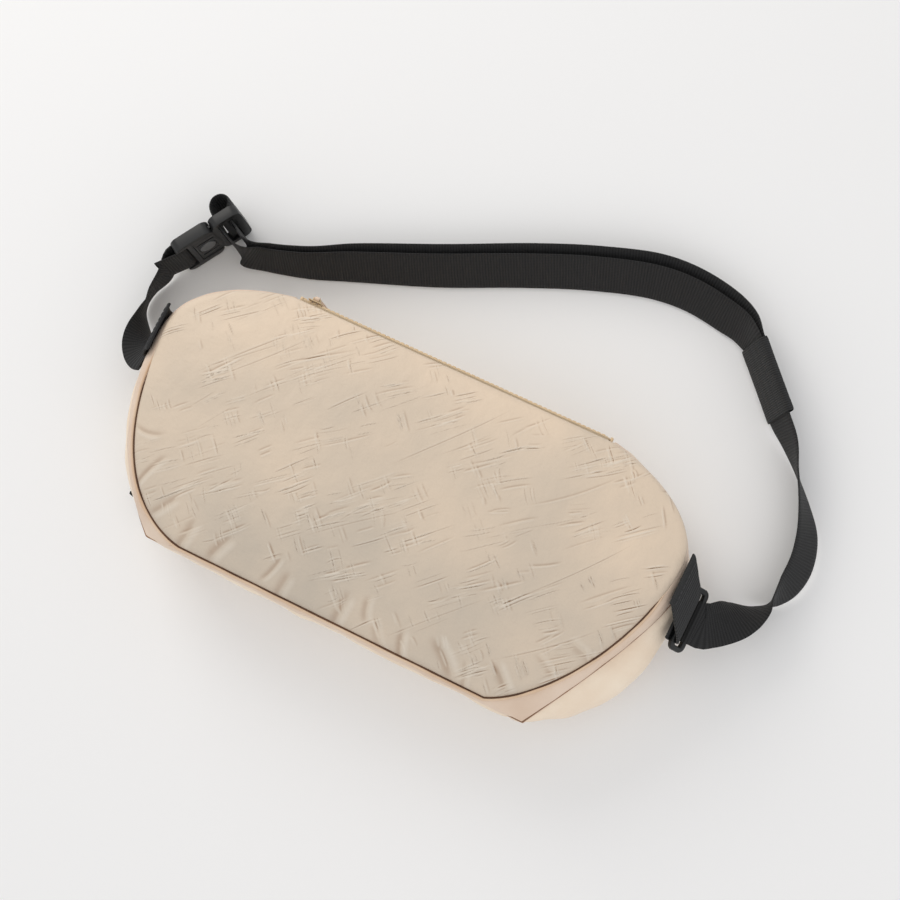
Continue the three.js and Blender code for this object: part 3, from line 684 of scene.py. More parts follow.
@dataclass
class FrontPanel:
    """The padded front of creased cloth, rounded over into its seam."""

    steps: tuple[int, int] = (580, 290)
    inset: float = 1.5 * MM
    roll: float = 5.0 * MM
    clusters: int = 250
    seed: int = 20

    def creases(self) -> list[Crease]:
        """Draw the creases: small crossed groups, some long ones and puckers at the seam."""
        draw = np.random.default_rng(self.seed)
        made: list[Crease] = []
        families = (math.radians(42), math.radians(-47))
        for _ in range(self.clusters):
            middle = draw.uniform([-156, -72], [156, 75]) * MM
            lean = draw.normal(0, math.radians(4))
            for _ in range(draw.integers(1, 4)):
                kind = int(draw.random() < 0.4)
                angle = families[kind] + lean + draw.normal(0, math.radians(3))
                length = (draw.uniform(8, 18) if kind else draw.uniform(12, 36)) * MM
                place = middle + draw.normal(0, 4, 2) * MM
                off = np.array([-math.sin(angle), math.cos(angle)]) * draw.uniform(1.5, 2.2) * MM
                high, bow = draw.uniform(0.16, 0.4) * MM, draw.normal(0, 0.4) * MM
                for k in range(draw.integers(1, 4)):
                    made.append(Crease(
                        place + k * off + draw.normal(0, 1.2, 2) * off, angle,
                        length * draw.uniform(0.6, 1.0), bow, draw.uniform(0.45, 0.7) * MM,
                        high * draw.uniform(0.7, 1.1), bool(draw.random() < 0.4)))
        for _ in range(12):
            made.append(Crease(
                draw.uniform([-130, -52], [120, 56]) * MM, families[0] + draw.normal(0, 0.1),
                draw.uniform(50, 90) * MM, draw.normal(0, 1.5) * MM,
                draw.uniform(0.55, 0.8) * MM, draw.uniform(0.16, 0.28) * MM,
                bool(draw.random() < 0.3)))
        seam = ((-112, -62), (-92, -72), (-70, -70), (-40, -66), (-28, -73), (8, -70), (22, -62),
                (34, -71), (48, -73), (70, -66), (84, -72), (104, -62), (122, -48), (138, -28),
                (-128, -48), (-142, -26))
        for x, y in seam:
            away = math.atan2(-y, -x * 0.55) + draw.normal(0, 0.25)
            made.append(Crease(
                np.array([x, y]) * MM, away, draw.uniform(18, 34) * MM,
                draw.normal(0, 1.5) * MM, draw.uniform(1.6, 3.2) * MM,
                draw.uniform(0.15, 0.32) * MM, True))
        return made

    def build(self) -> None:
        """Make the panel as one closed body and dress it."""
        patch = Patch(FRONT, self.inset, True)
        creases = self.creases()
        broad, middling, fine = Ripple(1, 62 * MM), Ripple(2, 24 * MM), Ripple(3, 9 * MM)
        limit, thick = 0.55 * MM, 1.4 * MM

        def relief(points: Array) -> Array:
            """Height of the creases alone."""
            height = np.zeros(len(points))
            for crease in creases:
                crease.add_to(height, points)
            return limit * np.tanh(height / limit)

        def where(u: Array, v: Array) -> Array:
            """Place the cloth."""
            points = patch.at(u, v)
            share, reach = patch.share(points)
            spots = np.c_[points, np.zeros(len(points))]
            rise = SEAM_Z + thick + (CROWN - thick) * (1 - np.minimum(share, 1) ** 2.6)
            calm = smooth((1 - share) * 14)
            rise += calm * (1.0 * broad.at(spots) + 0.34 * middling.at(spots)
                            + 0.14 * fine.at(spots)) * MM
            rise += relief(points) * smooth((1 - share) * 26 + 0.1)
            edge = np.clip((1 - share) * reach, 0, self.roll)
            over = 1 - edge / self.roll
            rise -= 3.4 * MM * (1 - np.sqrt(np.clip(1 - over ** 2, 0, 1)))
            return np.c_[points, rise]

        # the crease relief is kept for the material, which paints shade in the folds and a
        # highlight on the ridges
        piece = Loft("front_cloth", self.steps, where,
                     extra={"crease": lambda u, v: relief(patch.at(u, v)) / (0.3 * MM)}).make()

        def lower(corner: Vector) -> None:
            """Draw the skirt in under the cloth."""
            corner.z -= 1.2 * MM
            corner.xy *= 0.985

        close_below(piece, lower)
        dress(piece, Finish.FRONT, nodes=["front_panel"])


Row = tuple[float, float, float, float, float, float]
FINE = 14  # rows of a band's grid for each of its own
STEP_LENGTH = 12 * MM


@dataclass
class Band:
    """A cloth band of the bag's side, between two steps of the outlines.

    A row across it is its shares of the front, ridge, belly and back outlines, and its inset
    and height in millimetres.
    """

    name: str
    start: float
    end: float
    rows: Sequence[Row]
    node: str
    seed: int
    finish: Finish = Finish.SIDE
    slack: float = 0.5 * MM
    cloth: float = 1.4 * MM
    tuck: float = 1.3 * MM

    def build(self) -> None:
        """Make the band as one closed body with soft unevenness, and dress it."""
        table = np.array(self.rows) * [1, 1, 1, 1, MM, MM]
        last = len(table) - 1
        outer = even_curve(table, np.linspace(0, last, last * FINE + 1), False)
        inner = outer[::-1].copy()
        inner[:, 4] += self.cloth
        loop = np.r_[outer, inner, outer[:1]]
        edges = (FRONT, RIDGE, BELLY, BACK)
        broad, small = Ripple(self.seed, 46 * MM), Ripple(self.seed + 1, 15 * MM)
        count = len(loop) - 1
        outer_count = len(outer) - 1

        def where(u: Array, v: Array) -> Array:
            """Place the cloth."""
            step = lerp(self.start, self.end, u)
            row = np.clip(np.round(v * count).astype(int), 0, count)
            values = loop[row]
            across = np.where(row <= outer_count, row / outer_count,
                              1 - (row - outer_count - 1) / outer_count)
            away = np.zeros((len(u), 2))
            xy = np.zeros((len(u), 2))
            for i, edge in enumerate(edges):
                if np.any(values[:, i]):
                    xy += edge.at(step) * values[:, i:i + 1]
                    away += edge.out(step) * values[:, i:i + 1]
            free = np.sin(math.pi * np.clip(across, 0, 1))
            spots = np.c_[xy, values[:, 5]]
            stretched = spots * [1, 1, 0.45]
            slack = self.slack * (broad.at(stretched) + 0.5 * small.at(stretched)) * free
            ends = np.minimum(u, 1 - u) * (self.end - self.start) * STEP_LENGTH
            tuck = self.tuck * (1 - smooth(ends / (3.0 * MM)))
            return np.c_[xy + unit(away) * (slack - values[:, 4] - tuck)[:, None], values[:, 5]]

        steps = (max(int((self.end - self.start) * 9), 24), count)
        piece = Loft(self.name, steps, where, True, True).make()
        dress(piece, self.finish, nodes=[self.node])


@dataclass
class Shell:
    """The bag's cloth: front, side bands, piping, back panel and what is inside."""

    side: tuple[Row, ...] = (
        (1, 0, 0, 0, 0.4, 61.0), (0.75, 0.25, 0, 0, -0.9, 58.5),
        (0.4, 0.6, 0, 0, -1.1, 54.0), (0.1, 0.9, 0, 0, -0.3, 50.5),
        (0, 1, 0, 0, 0.7, 49.2))
    rear: tuple[Row, ...] = (
        (0, 1, 0, 0, 0.9, 46.8), (0, 0.75, 0.25, 0, -1.6, 43.5),
        (0, 0.3, 0.7, 0, -2.4, 35.0), (0, 0, 1, 0, -1.2, 24.0),
        (0, 0, 1, 0, 0.0, 14.0), (0, 0, 0.45, 0.55, 0.0, 6.5),
        (0, 0, 0, 1, 0.6, 3.0))

    def piping(self, name: str, edge: Edge, z: float, inset: float, radius: float,
               finish: Finish, node: Optional[str], seed: int, sunk: bool = False) -> None:
        """Sew a cord of cloth round an outline, inset from it, with all sizes in millimetres.

        The node is the solid it stands for, if any. A sunk cord is drawn in under the cloth
        where the front seam is hidden.
        """
        z, inset, radius = z * MM, inset * MM, radius * MM
        wander = Ripple(seed, 21 * MM)

        def where(u: Array, v: Array) -> Array:
            """Place the cord's skin."""
            step, turn = u * ROUND, v * CIRCLE
            xy = edge.at(step)
            uneven = wander.at(np.c_[xy, np.full(len(u), z)])
            hidden = 1 - open_seam(step) if sunk else np.zeros(len(u))
            size = radius * (1 + 0.2 * uneven) * (1 - 0.45 * hidden)
            reach = size * np.cos(turn) - inset - 2.2 * MM * hidden
            xy = xy + edge.out(step) * reach[:, None]
            return np.c_[xy, z + size * np.sin(turn) + (0.12 * uneven - 1.2 * hidden) * MM]

        piece = Loft(name, (720, 12), where, True).make()
        dress(piece, finish, nodes=[node] if node else [])

    def back_panel(self) -> None:
        """Make the spacer mesh back with its stitched channels."""
        patch = Patch(BACK, 1.8 * MM)

        def where(u: Array, v: Array) -> Array:
            """Place the outer face."""
            xy = patch.at(u, v)
            share = patch.share(xy)[0]
            channel = np.exp(-((share - 0.72) * 85 / 2.2) ** 2)
            middle = np.exp(-(xy[:, 0] / (2.2 * MM)) ** 2) * (share < 0.72)
            edge = smooth((share - 0.95) / 0.05)
            return np.c_[xy, (0.02 + 1.5 * np.maximum(channel, middle) + 0.9 * edge) * MM]

        piece = Loft("back_mesh_panel", (220, 110), where).make()

        def lower(corner: Vector) -> None:
            """End the skirt inside the foam."""
            corner.z = 2.6 * MM

        close_below(piece, lower)
        dress(piece, Finish.BACK, nodes=["back_panel"])

    def build(self) -> None:
        """Build the whole shell and finish the solids inside it."""
        FrontPanel().build()
        for cord in (
                ("front_piping_cord", FRONT, 61.3, 0.15, 0.75, Finish.PIPING, "front_piping", 11,
                 True),
                # a dark cord sunk in the front seam paints the shadow under the panel's rolled edge
                ("front_seam_painted_shadow", FRONT, 60.9, 1.35, 0.62, Finish.SEAM, None, 12, True),
                ("ridge_piping_cord", RIDGE, 47.9, 0.5, 0.8, Finish.SIDE, "ridge_piping", 13),
                # a brown cord along the ridge seam paints the soft shadow under its lip
                ("ridge_seam_painted_shadow", RIDGE, 49.1, 0.4, 0.5, Finish.RIDGE_SEAM, None, 15),
                ("back_piping_cord", BACK, 1.5, 0.2, 1.15, Finish.PIPING, "back_piping", 14)):
            self.piping(*cord)
        trim = 0.02  # steps between neighbouring bands
        low, high = HIP_END, ROUND - HIP_END
        for name, rows, start, end, node in (
                ("end_gusset_cloth_right", self.side, TOP_END - 0.1, low - trim,
                 "end_gusset_right"),
                ("bottom_gusset_cloth", self.side, low + trim, high - trim, "bottom_gusset"),
                ("end_gusset_cloth_left", self.side, high + trim, ROUND - TOP_END + 0.1,
                 "end_gusset_left"),
                ("rear_cloth_top", self.rear, -TOP_END + trim, TOP_END - trim, "rear_band_top"),
                ("rear_cloth_right", self.rear, TOP_END + trim, low - trim, "rear_band_right"),
                ("rear_cloth_bottom", self.rear, low + trim, high - trim, "rear_band_bottom"),
                ("rear_cloth_left", self.rear, high + trim, ROUND - TOP_END - trim,
                 "rear_band_left")):
            slack, finish = (0.45, Finish.SIDE) if rows is self.side else (1.1, Finish.REAR)
            Band(name, start, end, rows, node, len(name) * 7, finish, slack * MM).build()
        self.back_panel()
        for node, finish in (("lining", Finish.LINING), ("inner_pocket", Finish.LINING),
                             ("back_foam", Finish.PADDING)):
            finish.put_on(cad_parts[node])


# ---- Zip -----------------------------------------------------------------------------------

@dataclass
class Zip:
    """The moulded zip along the top: two tapes, interlocking teeth, stops and slider."""

    half: float = 97 * MM
    y: float = 81 * MM
    z: float = 55 * MM
    pitch: float = 3.0 * MM
    cloth_y: float = 78.7 * MM

    def tape(self, name: str, near_z: float, far_z: float, node: str) -> None:
        """Make a strip of tape from the teeth to the cloth beside them."""
        rumple = Ripple(31, 30 * MM)

        def where(u: Array, v: Array) -> Array:
            """Place the tape, its outer face for v up to a half."""
            share = np.where(v <= 0.5, v * 2, 2 - v * 2)
            share = np.clip(share * 1.04 - 0.02, 0, 1)
            lift = np.where(v <= 0.5, 0.35, -0.35) * MM
            lift = lift * (np.abs(np.sin(CIRCLE * v)) > 1e-6)
            x = lerp(-self.half, self.half, u)
            y = lerp(self.y, self.cloth_y, share) + lift
            z = lerp(near_z, far_z, share)
            spots = np.c_[x, y, z]
            spots[:, 1] += 0.15 * MM * rumple.at(spots)
            return spots

        piece = Loft(name, (150, 12), where, True, True,
                     lambda u, v: np.c_[u * 2 * self.half, v * 12 * MM]).make()
        dress(piece, Finish.ZIP_TAPE, nodes=[node])

    def teeth(self, name: str, facing: float, shift: float, node: str) -> None:
        """Mould one row of teeth on its bead."""
        bm = bmesh.new()
        x = -self.half + MM + shift
        while x + 0.58 * MM < self.half - 0.5 * MM:
            for low, high, wide, thick in ((-0.5, 0.85, 1.1, 1.9), (0.75, 1.9, 2.0, 2.3)):
                size = Matrix.Diagonal((wide * MM, thick * MM, (high - low) * MM, 1))
                middle = Vector((x, self.y, self.z + facing * (low + high) / 2 * MM))
                bmesh.ops.create_cube(bm, size=1, matrix=Matrix.Translation(middle) @ size)
            x += self.pitch
        bmesh.ops.bevel(bm, geom=list(bm.edges), offset=0.22 * MM, offset_type="OFFSET",
                        segments=1, profile=0.5, affect="EDGES", material=-1)
        bead = Matrix.Translation((0, self.y, self.z + facing * 1.5 * MM)) @ Matrix.Rotation(
            math.pi / 2, 4, "Y")
        bmesh.ops.create_cone(bm, cap_ends=True, segments=10, radius1=0.55 * MM,
                              radius2=0.55 * MM, depth=2 * self.half, matrix=bead)
        dress(show(written(bm, name), name), Finish.ZIP_TEETH, nodes=[node])

    def build(self) -> None:
        """Build the zip."""
        self.tape("zip_tape_woven_front", self.z + 2 * MM, SEAM_Z - MM, "zip_tape_front")
        self.tape("zip_tape_woven_rear", self.z - 2 * MM, RIDGE_Z + 1.2 * MM, "zip_tape_rear")
        self.teeth("zip_teeth_moulded_front", 1, 0, "zip_teeth_front")
        self.teeth("zip_teeth_moulded_rear", -1, self.pitch / 2, "zip_teeth_rear")
        for node, offset, finish, slot, body in (
                ("zip_stop_left", 0.3, Finish.ZIP_TEETH, "zip_metal", "bag"),
                ("zip_stop_right", 0.3, Finish.ZIP_TEETH, "zip_metal", "bag"),
                ("zip_slider", 0.25, Finish.ZIP_METAL, "zip_metal", "zip_slider"),
                ("zip_slider_underplate", 0.25, Finish.ZIP_METAL, "zip_metal", "zip_slider"),
                ("zip_pull", 0.25, Finish.SIDE, "side_cloth", "zip_pull")):
            dress(softened(node, offset * MM), finish, body, [node])


# ---- Webbing -------------------------------------------------------------------------------

Station = tuple[float, float, float, float, float]
MEASURED = 2400  # points that a strip is measured with


@dataclass
class Ribbon:
    """A length of narrow weave through stations of (x, y, z, heading, lean).

    Millimetres and degrees: the heading is the way its width takes seen from above, and the
    lean is how far the width is raised from the floor, so 90 stands it on its edge.
    """

    stations: Sequence[Station]
    width: float = 25 * MM
    thickness: float = 1.4 * MM

    def __post_init__(self) -> None:
        """Keep the stations as arrays."""
        table = np.array(self.stations, float)
        self.spots = table[:, :3] * MM
        self.widths = np.array([width_way(*row) for row in table[:, 3:]])

    def centre(self, t: Array) -> Array:
        """Give the middle line at t, in stations, by a centripetal Catmull-Rom curve."""
        a, b, c, d, w = neighbours(self.spots, t)
        d0, d1, d2 = (np.maximum(np.linalg.norm(q, axis=1), 1e-9)[:, None] ** 0.5
                      for q in (b - a, c - b, d - c))
        return hermite(b, c, ((b - a) / d0 - (c - a) / (d0 + d1) + (c - b) / d1) * d1,
                       ((c - b) / d1 - (d - b) / (d1 + d2) + (d - c) / d2) * d1, w)

    def frame_at(self, u: Array) -> tuple[Array, Array, Array, Array]:
        """Give the middle, the way along, the way across and the face's way at u from 0 to 1."""
        last = len(self.spots) - 1
        t = np.clip(u, 0, 1) * last
        tiny = 2e-4 * last
        along = unit(self.centre(np.minimum(t + tiny, last))
                     - self.centre(np.maximum(t - tiny, 0)))
        across = even_curve(self.widths, t)
        across = unit(across - along * (across * along).sum(1)[:, None])
        return self.centre(t), along, across, np.cross(along, across)

    def even(self, count: int) -> tuple[Array, Array]:
        """Give count places in u that are evenly spaced along the strip, and their run."""
        u = np.linspace(0, 1, MEASURED)
        run = run_of(self.frame_at(u)[0])
        even = np.linspace(0, run[-1], count)
        return np.interp(even, run, u), even

    def length(self) -> float:
        """Give the strip's length in metres."""
        return float(self.even(2)[1][-1])

    def section(self) -> tuple[Array, Array]:
        """Give the section's outline: across from -0.5 to 0.5 and through from -0.5 to 0.5."""
        flat = np.linspace(-0.48, 0.48, 13)
        across = np.r_[flat, 0.497, 0.497, flat[::-1], -0.497, -0.497, flat[0]]
        edge = 0.5 - 0.16 * np.exp(-((np.abs(flat) - 0.48) / 0.02) ** 2)
        through = np.r_[edge, 0.2, -0.2, -edge[::-1], -0.2, 0.2, edge[0]]
        return across, through

    def build(self, name: str) -> bpy.types.Object:
        """Make the strip as a closed body with a UV map in metres along and across."""
        count = max(int(self.length() / (1.5 * MM)), 16)
        places, run = self.even(count + 1)
        across, through = self.section()
        rows = len(across) - 1

        def pick(u: Array, v: Array) -> tuple[Array, Array]:
            """Turn grid places into station and section numbers."""
            i = np.clip(np.round(u * count).astype(int), 0, count)
            return i, np.clip(np.round(v * rows).astype(int), 0, rows)

        def where(u: Array, v: Array) -> Array:
            """Place the skin of the strip."""
            i, j = pick(u, v)
            middle, _, side, face = self.frame_at(places[i])
            return (middle + side * (across[j] * self.width)[:, None]
                    + face * (through[j] * self.thickness)[:, None])

        def strip(u: Array, v: Array) -> Array:
            """Lay the weave out flat."""
            i, j = pick(u, v)
            return np.c_[run[i], across[j] * self.width]

        return Loft(name, (count, rows), where, True, True, strip).make()

    def path(self) -> list[list[float]]:
        """Give the middle line as points about 4 mm apart."""
        places, _ = self.even(max(int(self.length() / (4 * MM)), 12))
        return self.frame_at(places)[0].tolist()


def turned(middle: Sequence[float], axes: Sequence[Sequence[float]],
           spot: Sequence[float]) -> Array:
    """Place a spot of a turned frame, given by its middle and its three axes."""
    return np.array(middle) + np.array(spot) @ np.array(axes)


def width_way(heading: float, lean: float) -> Array:
    """Give the direction of a heading and a lean in degrees."""
    h, l = math.radians(heading), math.radians(lean)
    return np.array([math.cos(l) * math.cos(h), math.cos(l) * math.sin(h), math.sin(l)])


# ---- Hardware ------------------------------------------------------------------------------

@dataclass
class Ring:
    """The rectangular ring of the right end, lying in its own plane."""

    middle: tuple[float, float, float] = (178, 10, 38)
    half_bar: float = 17.5
    half_reach: float = 4.5
    bar: float = 1.7
    drop: float = 50.0
    corner: float = 2.6
    square: float = 0.62

    def __post_init__(self) -> None:
        """Work out the ring's axes: reach, bars and face."""
        a = math.radians(self.drop)
        self.reach = np.array([math.cos(a), 0, -math.sin(a)])
        self.bars = np.array([0.0, -1.0, 0.0])
        self.face = -np.cross(self.reach, self.bars)

    def beside(self, reach: float, rise: float) -> Station:
        """Give a station beside the outer bar, past it by reach and above it by rise."""
        spot = (np.array(self.middle) + self.reach * (self.half_reach + reach)
                + self.face * rise)
        return (*spot, -90.0, 0.0)

    def build(self) -> None:
        """Mould the ring."""

        def where(u: Array, v: Array) -> Array:
            """Sweep a rounded square section round a rounded rectangle."""
            a, b = self.half_reach - self.corner, self.half_bar - self.corner
            # a rounded rectangle: straight sides pushed out from its four corner arcs
            right = math.pi / 2
            quarter = np.floor(CIRCLE * u / right + 1e-9) % 4
            share = (CIRCLE * u / right) % 1
            arc = (smooth((share - 0.3) / 0.4) + quarter) * right
            out = np.c_[np.cos(arc), np.sin(arc)]
            to_hub = (quarter + 0.5) * right
            hub = np.c_[np.sign(np.cos(to_hub)) * a, np.sign(np.sin(to_hub)) * b]
            slide = np.where(share < 0.3, share / 0.3 - 1,
                             np.where(share > 0.7, (share - 0.7) / 0.3, 0))
            half = np.where(np.isin(quarter, (0, 2)) == (slide < 0), b, a)
            along = np.c_[-out[:, 1], out[:, 0]]
            line = hub + out * self.corner + along * (slide * half)[:, None]
            c = squared(np.cos(CIRCLE * v), self.square) * self.bar
            h = squared(np.sin(CIRCLE * v), self.square) * self.bar
            spots = line + out * c[:, None]
            return (np.array(self.middle) + spots[:, :1] * self.reach
                    + spots[:, 1:] * self.bars - h[:, None] * self.face) * MM

        piece = Loft("ring_moulded", (96, 16), where, True).make()
        dress(piece, Finish.BLACK_PLASTIC, "ring", ["ring"])


@dataclass
class Buckle:
    """The side-standing buckle with its press button; X runs from the dock to the plate."""

    middle: tuple[float, float, float] = (-178.8, 97, 17.8)
    heading: float = 57.0
    lean: float = 85.0

    def __post_init__(self) -> None:
        """Work out the buckle's axes."""
        along, across = width_way(self.heading, 0), width_way(self.heading + 90, self.lean)
        self.axes = [along, across, np.cross(along, across)]

    def beside(self, x: float, z: float) -> Station:
        """Give a station of the strap in the buckle's own frame."""
        return (*turned(self.middle, self.axes, (x, 0, z)), self.heading + 90, self.lean)

    def build(self) -> None:
        """Mould the dock, the plate and the button."""
        for node, offset, finish, slot, body in (
                ("buckle_dock", 0.7, Finish.BLACK_PLASTIC, "black_plastic", "bag"),
                ("buckle_plate", 0.6, Finish.BLACK_PLASTIC, "black_plastic", "buckle_plate"),
                ("release_button", 0.6, Finish.GREY_PLASTIC, "grey_plastic", "release_button")):
            dress(softened(node, offset * MM, 3), finish, body, [node])


@dataclass
class Keeper:
    """The woven sleeve round both runs of the strap."""

    middle: tuple[float, float, float] = (160, 155.4, 15.4)
    heading: float = 44.0
    lean: float = 68.0
    length: float = 45.0
    half: tuple[float, float] = (14.4, 2.8)
    wall: float = 0.9

    def __post_init__(self) -> None:
        """Work out the keeper's axes: along the strap, across it and out of it."""
        along, across = width_way(self.heading + 90, 0), width_way(self.heading, self.lean)
        self.axes = [along, across, np.cross(along, across)]

    def inside(self, x: float, z: float) -> Station:
        """Give a station of the strap inside the sleeve."""
        return (*turned(self.middle, self.axes, (x, 0, z)), self.heading, self.lean)

    def build(self) -> None:
        """Weave the sleeve, a little wider at its mouths."""

        def where(u: Array, v: Array) -> Array:
            """Place the outer skin for u up to a half, and the inner skin after it."""
            outside = u <= 0.5
            share = np.where(outside, u * 2, 2 - 2 * u)
            x = lerp(-self.length / 2, self.length / 2, share)
            mouth = np.abs(share - 0.5) * 2
            inset = np.where(outside, 0, self.wall) + 0.25 * (mouth > 0.97)
            y = squared(np.cos(CIRCLE * v), 0.35) * (self.half[0] - inset)
            z = squared(np.sin(CIRCLE * v), 0.6) * (self.half[1] + 0.3 * mouth ** 3 - inset)
            return turned(self.middle, self.axes, np.c_[x, y, z]) * MM

        piece = Loft("keeper_sleeve", (48, 64), where, True,
                     strip=lambda u, v: np.c_[u * 90, v * 60] * MM).make()
        dress(piece, Finish.GROSGRAIN, "bag", ["keeper"])


@dataclass
class Tab:
    """A folded grosgrain tab sewn into an end seam: its section is (distance out, height)."""

    name: str
    node: str
    side: int
    section: Sequence[tuple[float, float]]
    from_y: float
    to_y: float
    hug: float = 0.0
    width: float = 30.0
    thickness: float = 1.4

    def build(self) -> None:
        """Fold the tab and stitch it."""
        ribbon = Ribbon([(x, 0, z, 90, 0) for x, z in self.section])
        thick = self.thickness
        flat = np.linspace(-0.49, 0.49, 15)
        across = np.r_[flat, 0.5, 0.5, flat[::-1], -0.5, -0.5, flat[0]]
        through = np.r_[np.full(15, 0.5), 0.25, -0.25, np.full(15, -0.5), -0.25, 0.25, 0.5]
        rows = len(across) - 1
        soft = Ripple(51, 20 * MM)
        top = self.section[0][1]

        def drawn_in(y: Array, z: Array) -> Array:
            """Give how far the lower part lies in towards the ridge seam near the shoulder."""
            return self.hug * (np.maximum(y - 18, 0) / 28) ** 2 * smooth((top - z / MM) / 13) * MM

        def where(u: Array, v: Array) -> Array:
            """Place the tab's skin."""
            i = np.clip(np.round(v * rows).astype(int), 0, rows)
            middle, along, _, _ = ribbon.frame_at(u)
            w = through[i] * thick * MM
            y = lerp(self.from_y, self.to_y, smooth(u / 0.45)) + across[i] * self.width
            x = middle[:, 0] + w * along[:, 2] - drawn_in(y, middle[:, 2])
            z = middle[:, 2] - w * along[:, 0]
            spots = np.c_[self.side * x, y * MM, z]
            spots[:, 2] += 0.15 * MM * soft.at(spots)
            return spots

        def strip(u: Array, v: Array) -> Array:
            """Lay the weave out flat."""
            i = np.clip(np.round(v * rows).astype(int), 0, rows)
            return np.c_[u * 50, across[i] * self.width] * MM

        piece = Loft(self.name, (90, rows), where, True, True, strip).make()
        dress(piece, Finish.GROSGRAIN, "bag", [self.node])
        v = np.linspace(-0.42, 0.42, 30)
        for k, u in enumerate((0.1, 0.16), 1):
            middle, along, _, _ = ribbon.frame_at(np.full(len(v), u))
            y = lerp(self.from_y, self.to_y, smooth(u / 0.45)) + v * self.width
            out = np.c_[-self.side * along[:, 2], np.zeros(len(v)), along[:, 0]]
            out *= np.sign(out[:, 2:3])
            x = middle[:, 0] - drawn_in(y, middle[:, 2])
            spots = np.c_[self.side * x, y * MM, middle[:, 2]] + out * (thick / 2 + 0.1) * MM
            dress(stitches(f"{self.name}_stitches_{k}", spots, out), Finish.THREAD)


# ---- Strap ---------------------------------------------------------------------------------

@dataclass
class Strap:
    """The adjustable strap: one length of webbing from the ring to the buckle and back."""

    ring: Ring
    buckle: Buckle
    keeper: Keeper

    def single(self) -> list[Station]:
        """Stations from the sewn end at the ring to the middle of the keeper."""
        b = self.ring.beside
        bar = [b(2.9 * math.cos(math.radians(a)), 2.9 * math.sin(math.radians(a)))
               for a in (-80, -125, 180, 125, 75)]
        return [
            (192, 13.6, 28.2, -82, 6), b(4.4, -2.7), *bar,
            (187.2, 10, 34.3, -90, 0), (191.5, 13.4, 31, -82, 6), (196.5, 18, 26.8, -70, 15),
            (203.6, 25, 20.5, -50, 36), (212, 35, 15, -25, 72), (216.5, 43, 13.6, 0, 104),
            (220, 53, 12.6, 5, 122), (221.3, 66.8, 12.2, 2, 126), (217.6, 83, 12.2, 18, 122),
            (208.5, 99, 12.8, 30, 108), (197, 114.5, 13.4, 38, 92), (187.2, 127, 14.2, 42, 76),
            self.keeper.inside(-24, -1), self.keeper.inside(-0.15, -1)]

    def front(self) -> list[Station]:
        """Stations from the keeper to the buckle's first slot."""
        k, b = self.keeper.inside, self.buckle.beside
        return [
            k(0.15, -1), k(24.5, -1), (133.4, 178, 13, 60, 60), (122.8, 180.8, 11.4, 70, 54),
            (99.6, 184.2, 11.2, 88, 52), (76.1, 182.6, 11, 97, 51), (40.6, 172.4, 11, 109, 51),
            (4.5, 158.2, 11, 112, 51), (-44.2, 136.6, 11.2, 112, 52),
            (-93.7, 117, 11.8, 112, 59), (-118.4, 106.6, 12.6, 111, 66),
            (-143.4, 99.4, 13.4, 106, 71), (*b(12, 20)[:3], 128, 77), b(10.6, 13), b(9.7, 7),
            b(9.3, 3.2), b(9.2, 0.15)]

    def slack_loop(self) -> list[Station]:
        """Stations of the slack loop behind the buckle's plate."""
        return [self.buckle.beside(x, z) for x, z in (
            (9.2, -0.15), (9.2, -4), (9.4, -8.5), (10.8, -12.6), (14.5, -15.6), (19.3, -15.2),
            (22.2, -12), (21.9, -8.6), (19.6, -5.7), (17.3, -3.3), (17, -0.15))]

    def back(self) -> list[Station]:
        """Stations from the buckle's second slot back into the keeper."""
        k, b = self.keeper.inside, self.buckle.beside
        return [
            b(17, 0.15), b(17.2, 3.4), b(17.6, 8), b(17.6, 15), (-143.6, 104, 13.6, 103, 75),
            (-117, 111.5, 12.8, 111, 67), (-91.5, 123.5, 11.8, 112, 59),
            (-41, 144.4, 11.2, 112, 52), (7.7, 166.4, 11, 112, 51), (43.2, 180.2, 11, 109, 51),
            (77.2, 190, 11.2, 98, 52), (101, 190.8, 11.4, 86, 53), (124.6, 186.6, 12.2, 68, 57),
            (136.4, 181.2, 13.2, 56, 62), k(23, 1), k(8, 1), k(-6, 1)]

    def short(self) -> list[Station]:
        """Stations of the short strap from the left tab round the dock's bar."""
        b = self.buckle.beside
        return [
            (-173.4, 16.2, 39.4, -88, 14), (-176.2, 15.6, 36.8, -90, 18), (-180, 16.8, 32, -98, 28),
            (-185, 21.6, 25, -114, 50), (-192.4, 31.4, 17.2, -150, 82), (-198, 43, 13.8, 178, 105),
            (-198.6, 54, 13.6, 176, 100), (-195.8, 65, 14, 160, 90), b(-24.5, -3.2),
            b(-19.7, -3.2), b(-16.2, -2.2), b(-15.2, 0), b(-16.2, 2.2), b(-19.7, 3.2),
            b(-25, 2.4), b(-36, 0.6)]

    def build(self) -> None:
        for name, stations, node, body in (
                ("webbing_single_run", self.single(), "strap_single", None),
                ("webbing_front_run", self.front(), "strap_front", None),
                ("webbing_slack_loop", self.slack_loop(), "adjuster_loop", "buckle_plate"),
                ("webbing_return_run", self.back(), "strap_return", None),
                ("webbing_short_strap", self.short(), "short_strap", "bag")):
            ribbon = Ribbon(stations)
            piece = dress(ribbon.build(name), Finish.WEBBING, body, [node])
            if body:  # a piece on a body is left as it is; too short to be a cord
                continue
            tuple(ribbon.path()[0])
            ribbon.length()
            ribbon.path()
            if node == "strap_single":
                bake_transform(piece)
            else:
                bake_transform(piece)
        loop = Ribbon([(x, y, 10, 0, 90) for x, y in (
            (-142.4, -63.2), (-147.5, -64.2), (-152, -64.2), (-155, -63), (-152.2, -61.6),
            (-148, -61.1), (-144, -60.9))], 5 * MM, 0.8 * MM)
        dress(loop.build("side_loop_tape"), Finish.WEBBING, "bag", ["side_loop"])


# ---- Studio --------------------------------------------------------------------------------

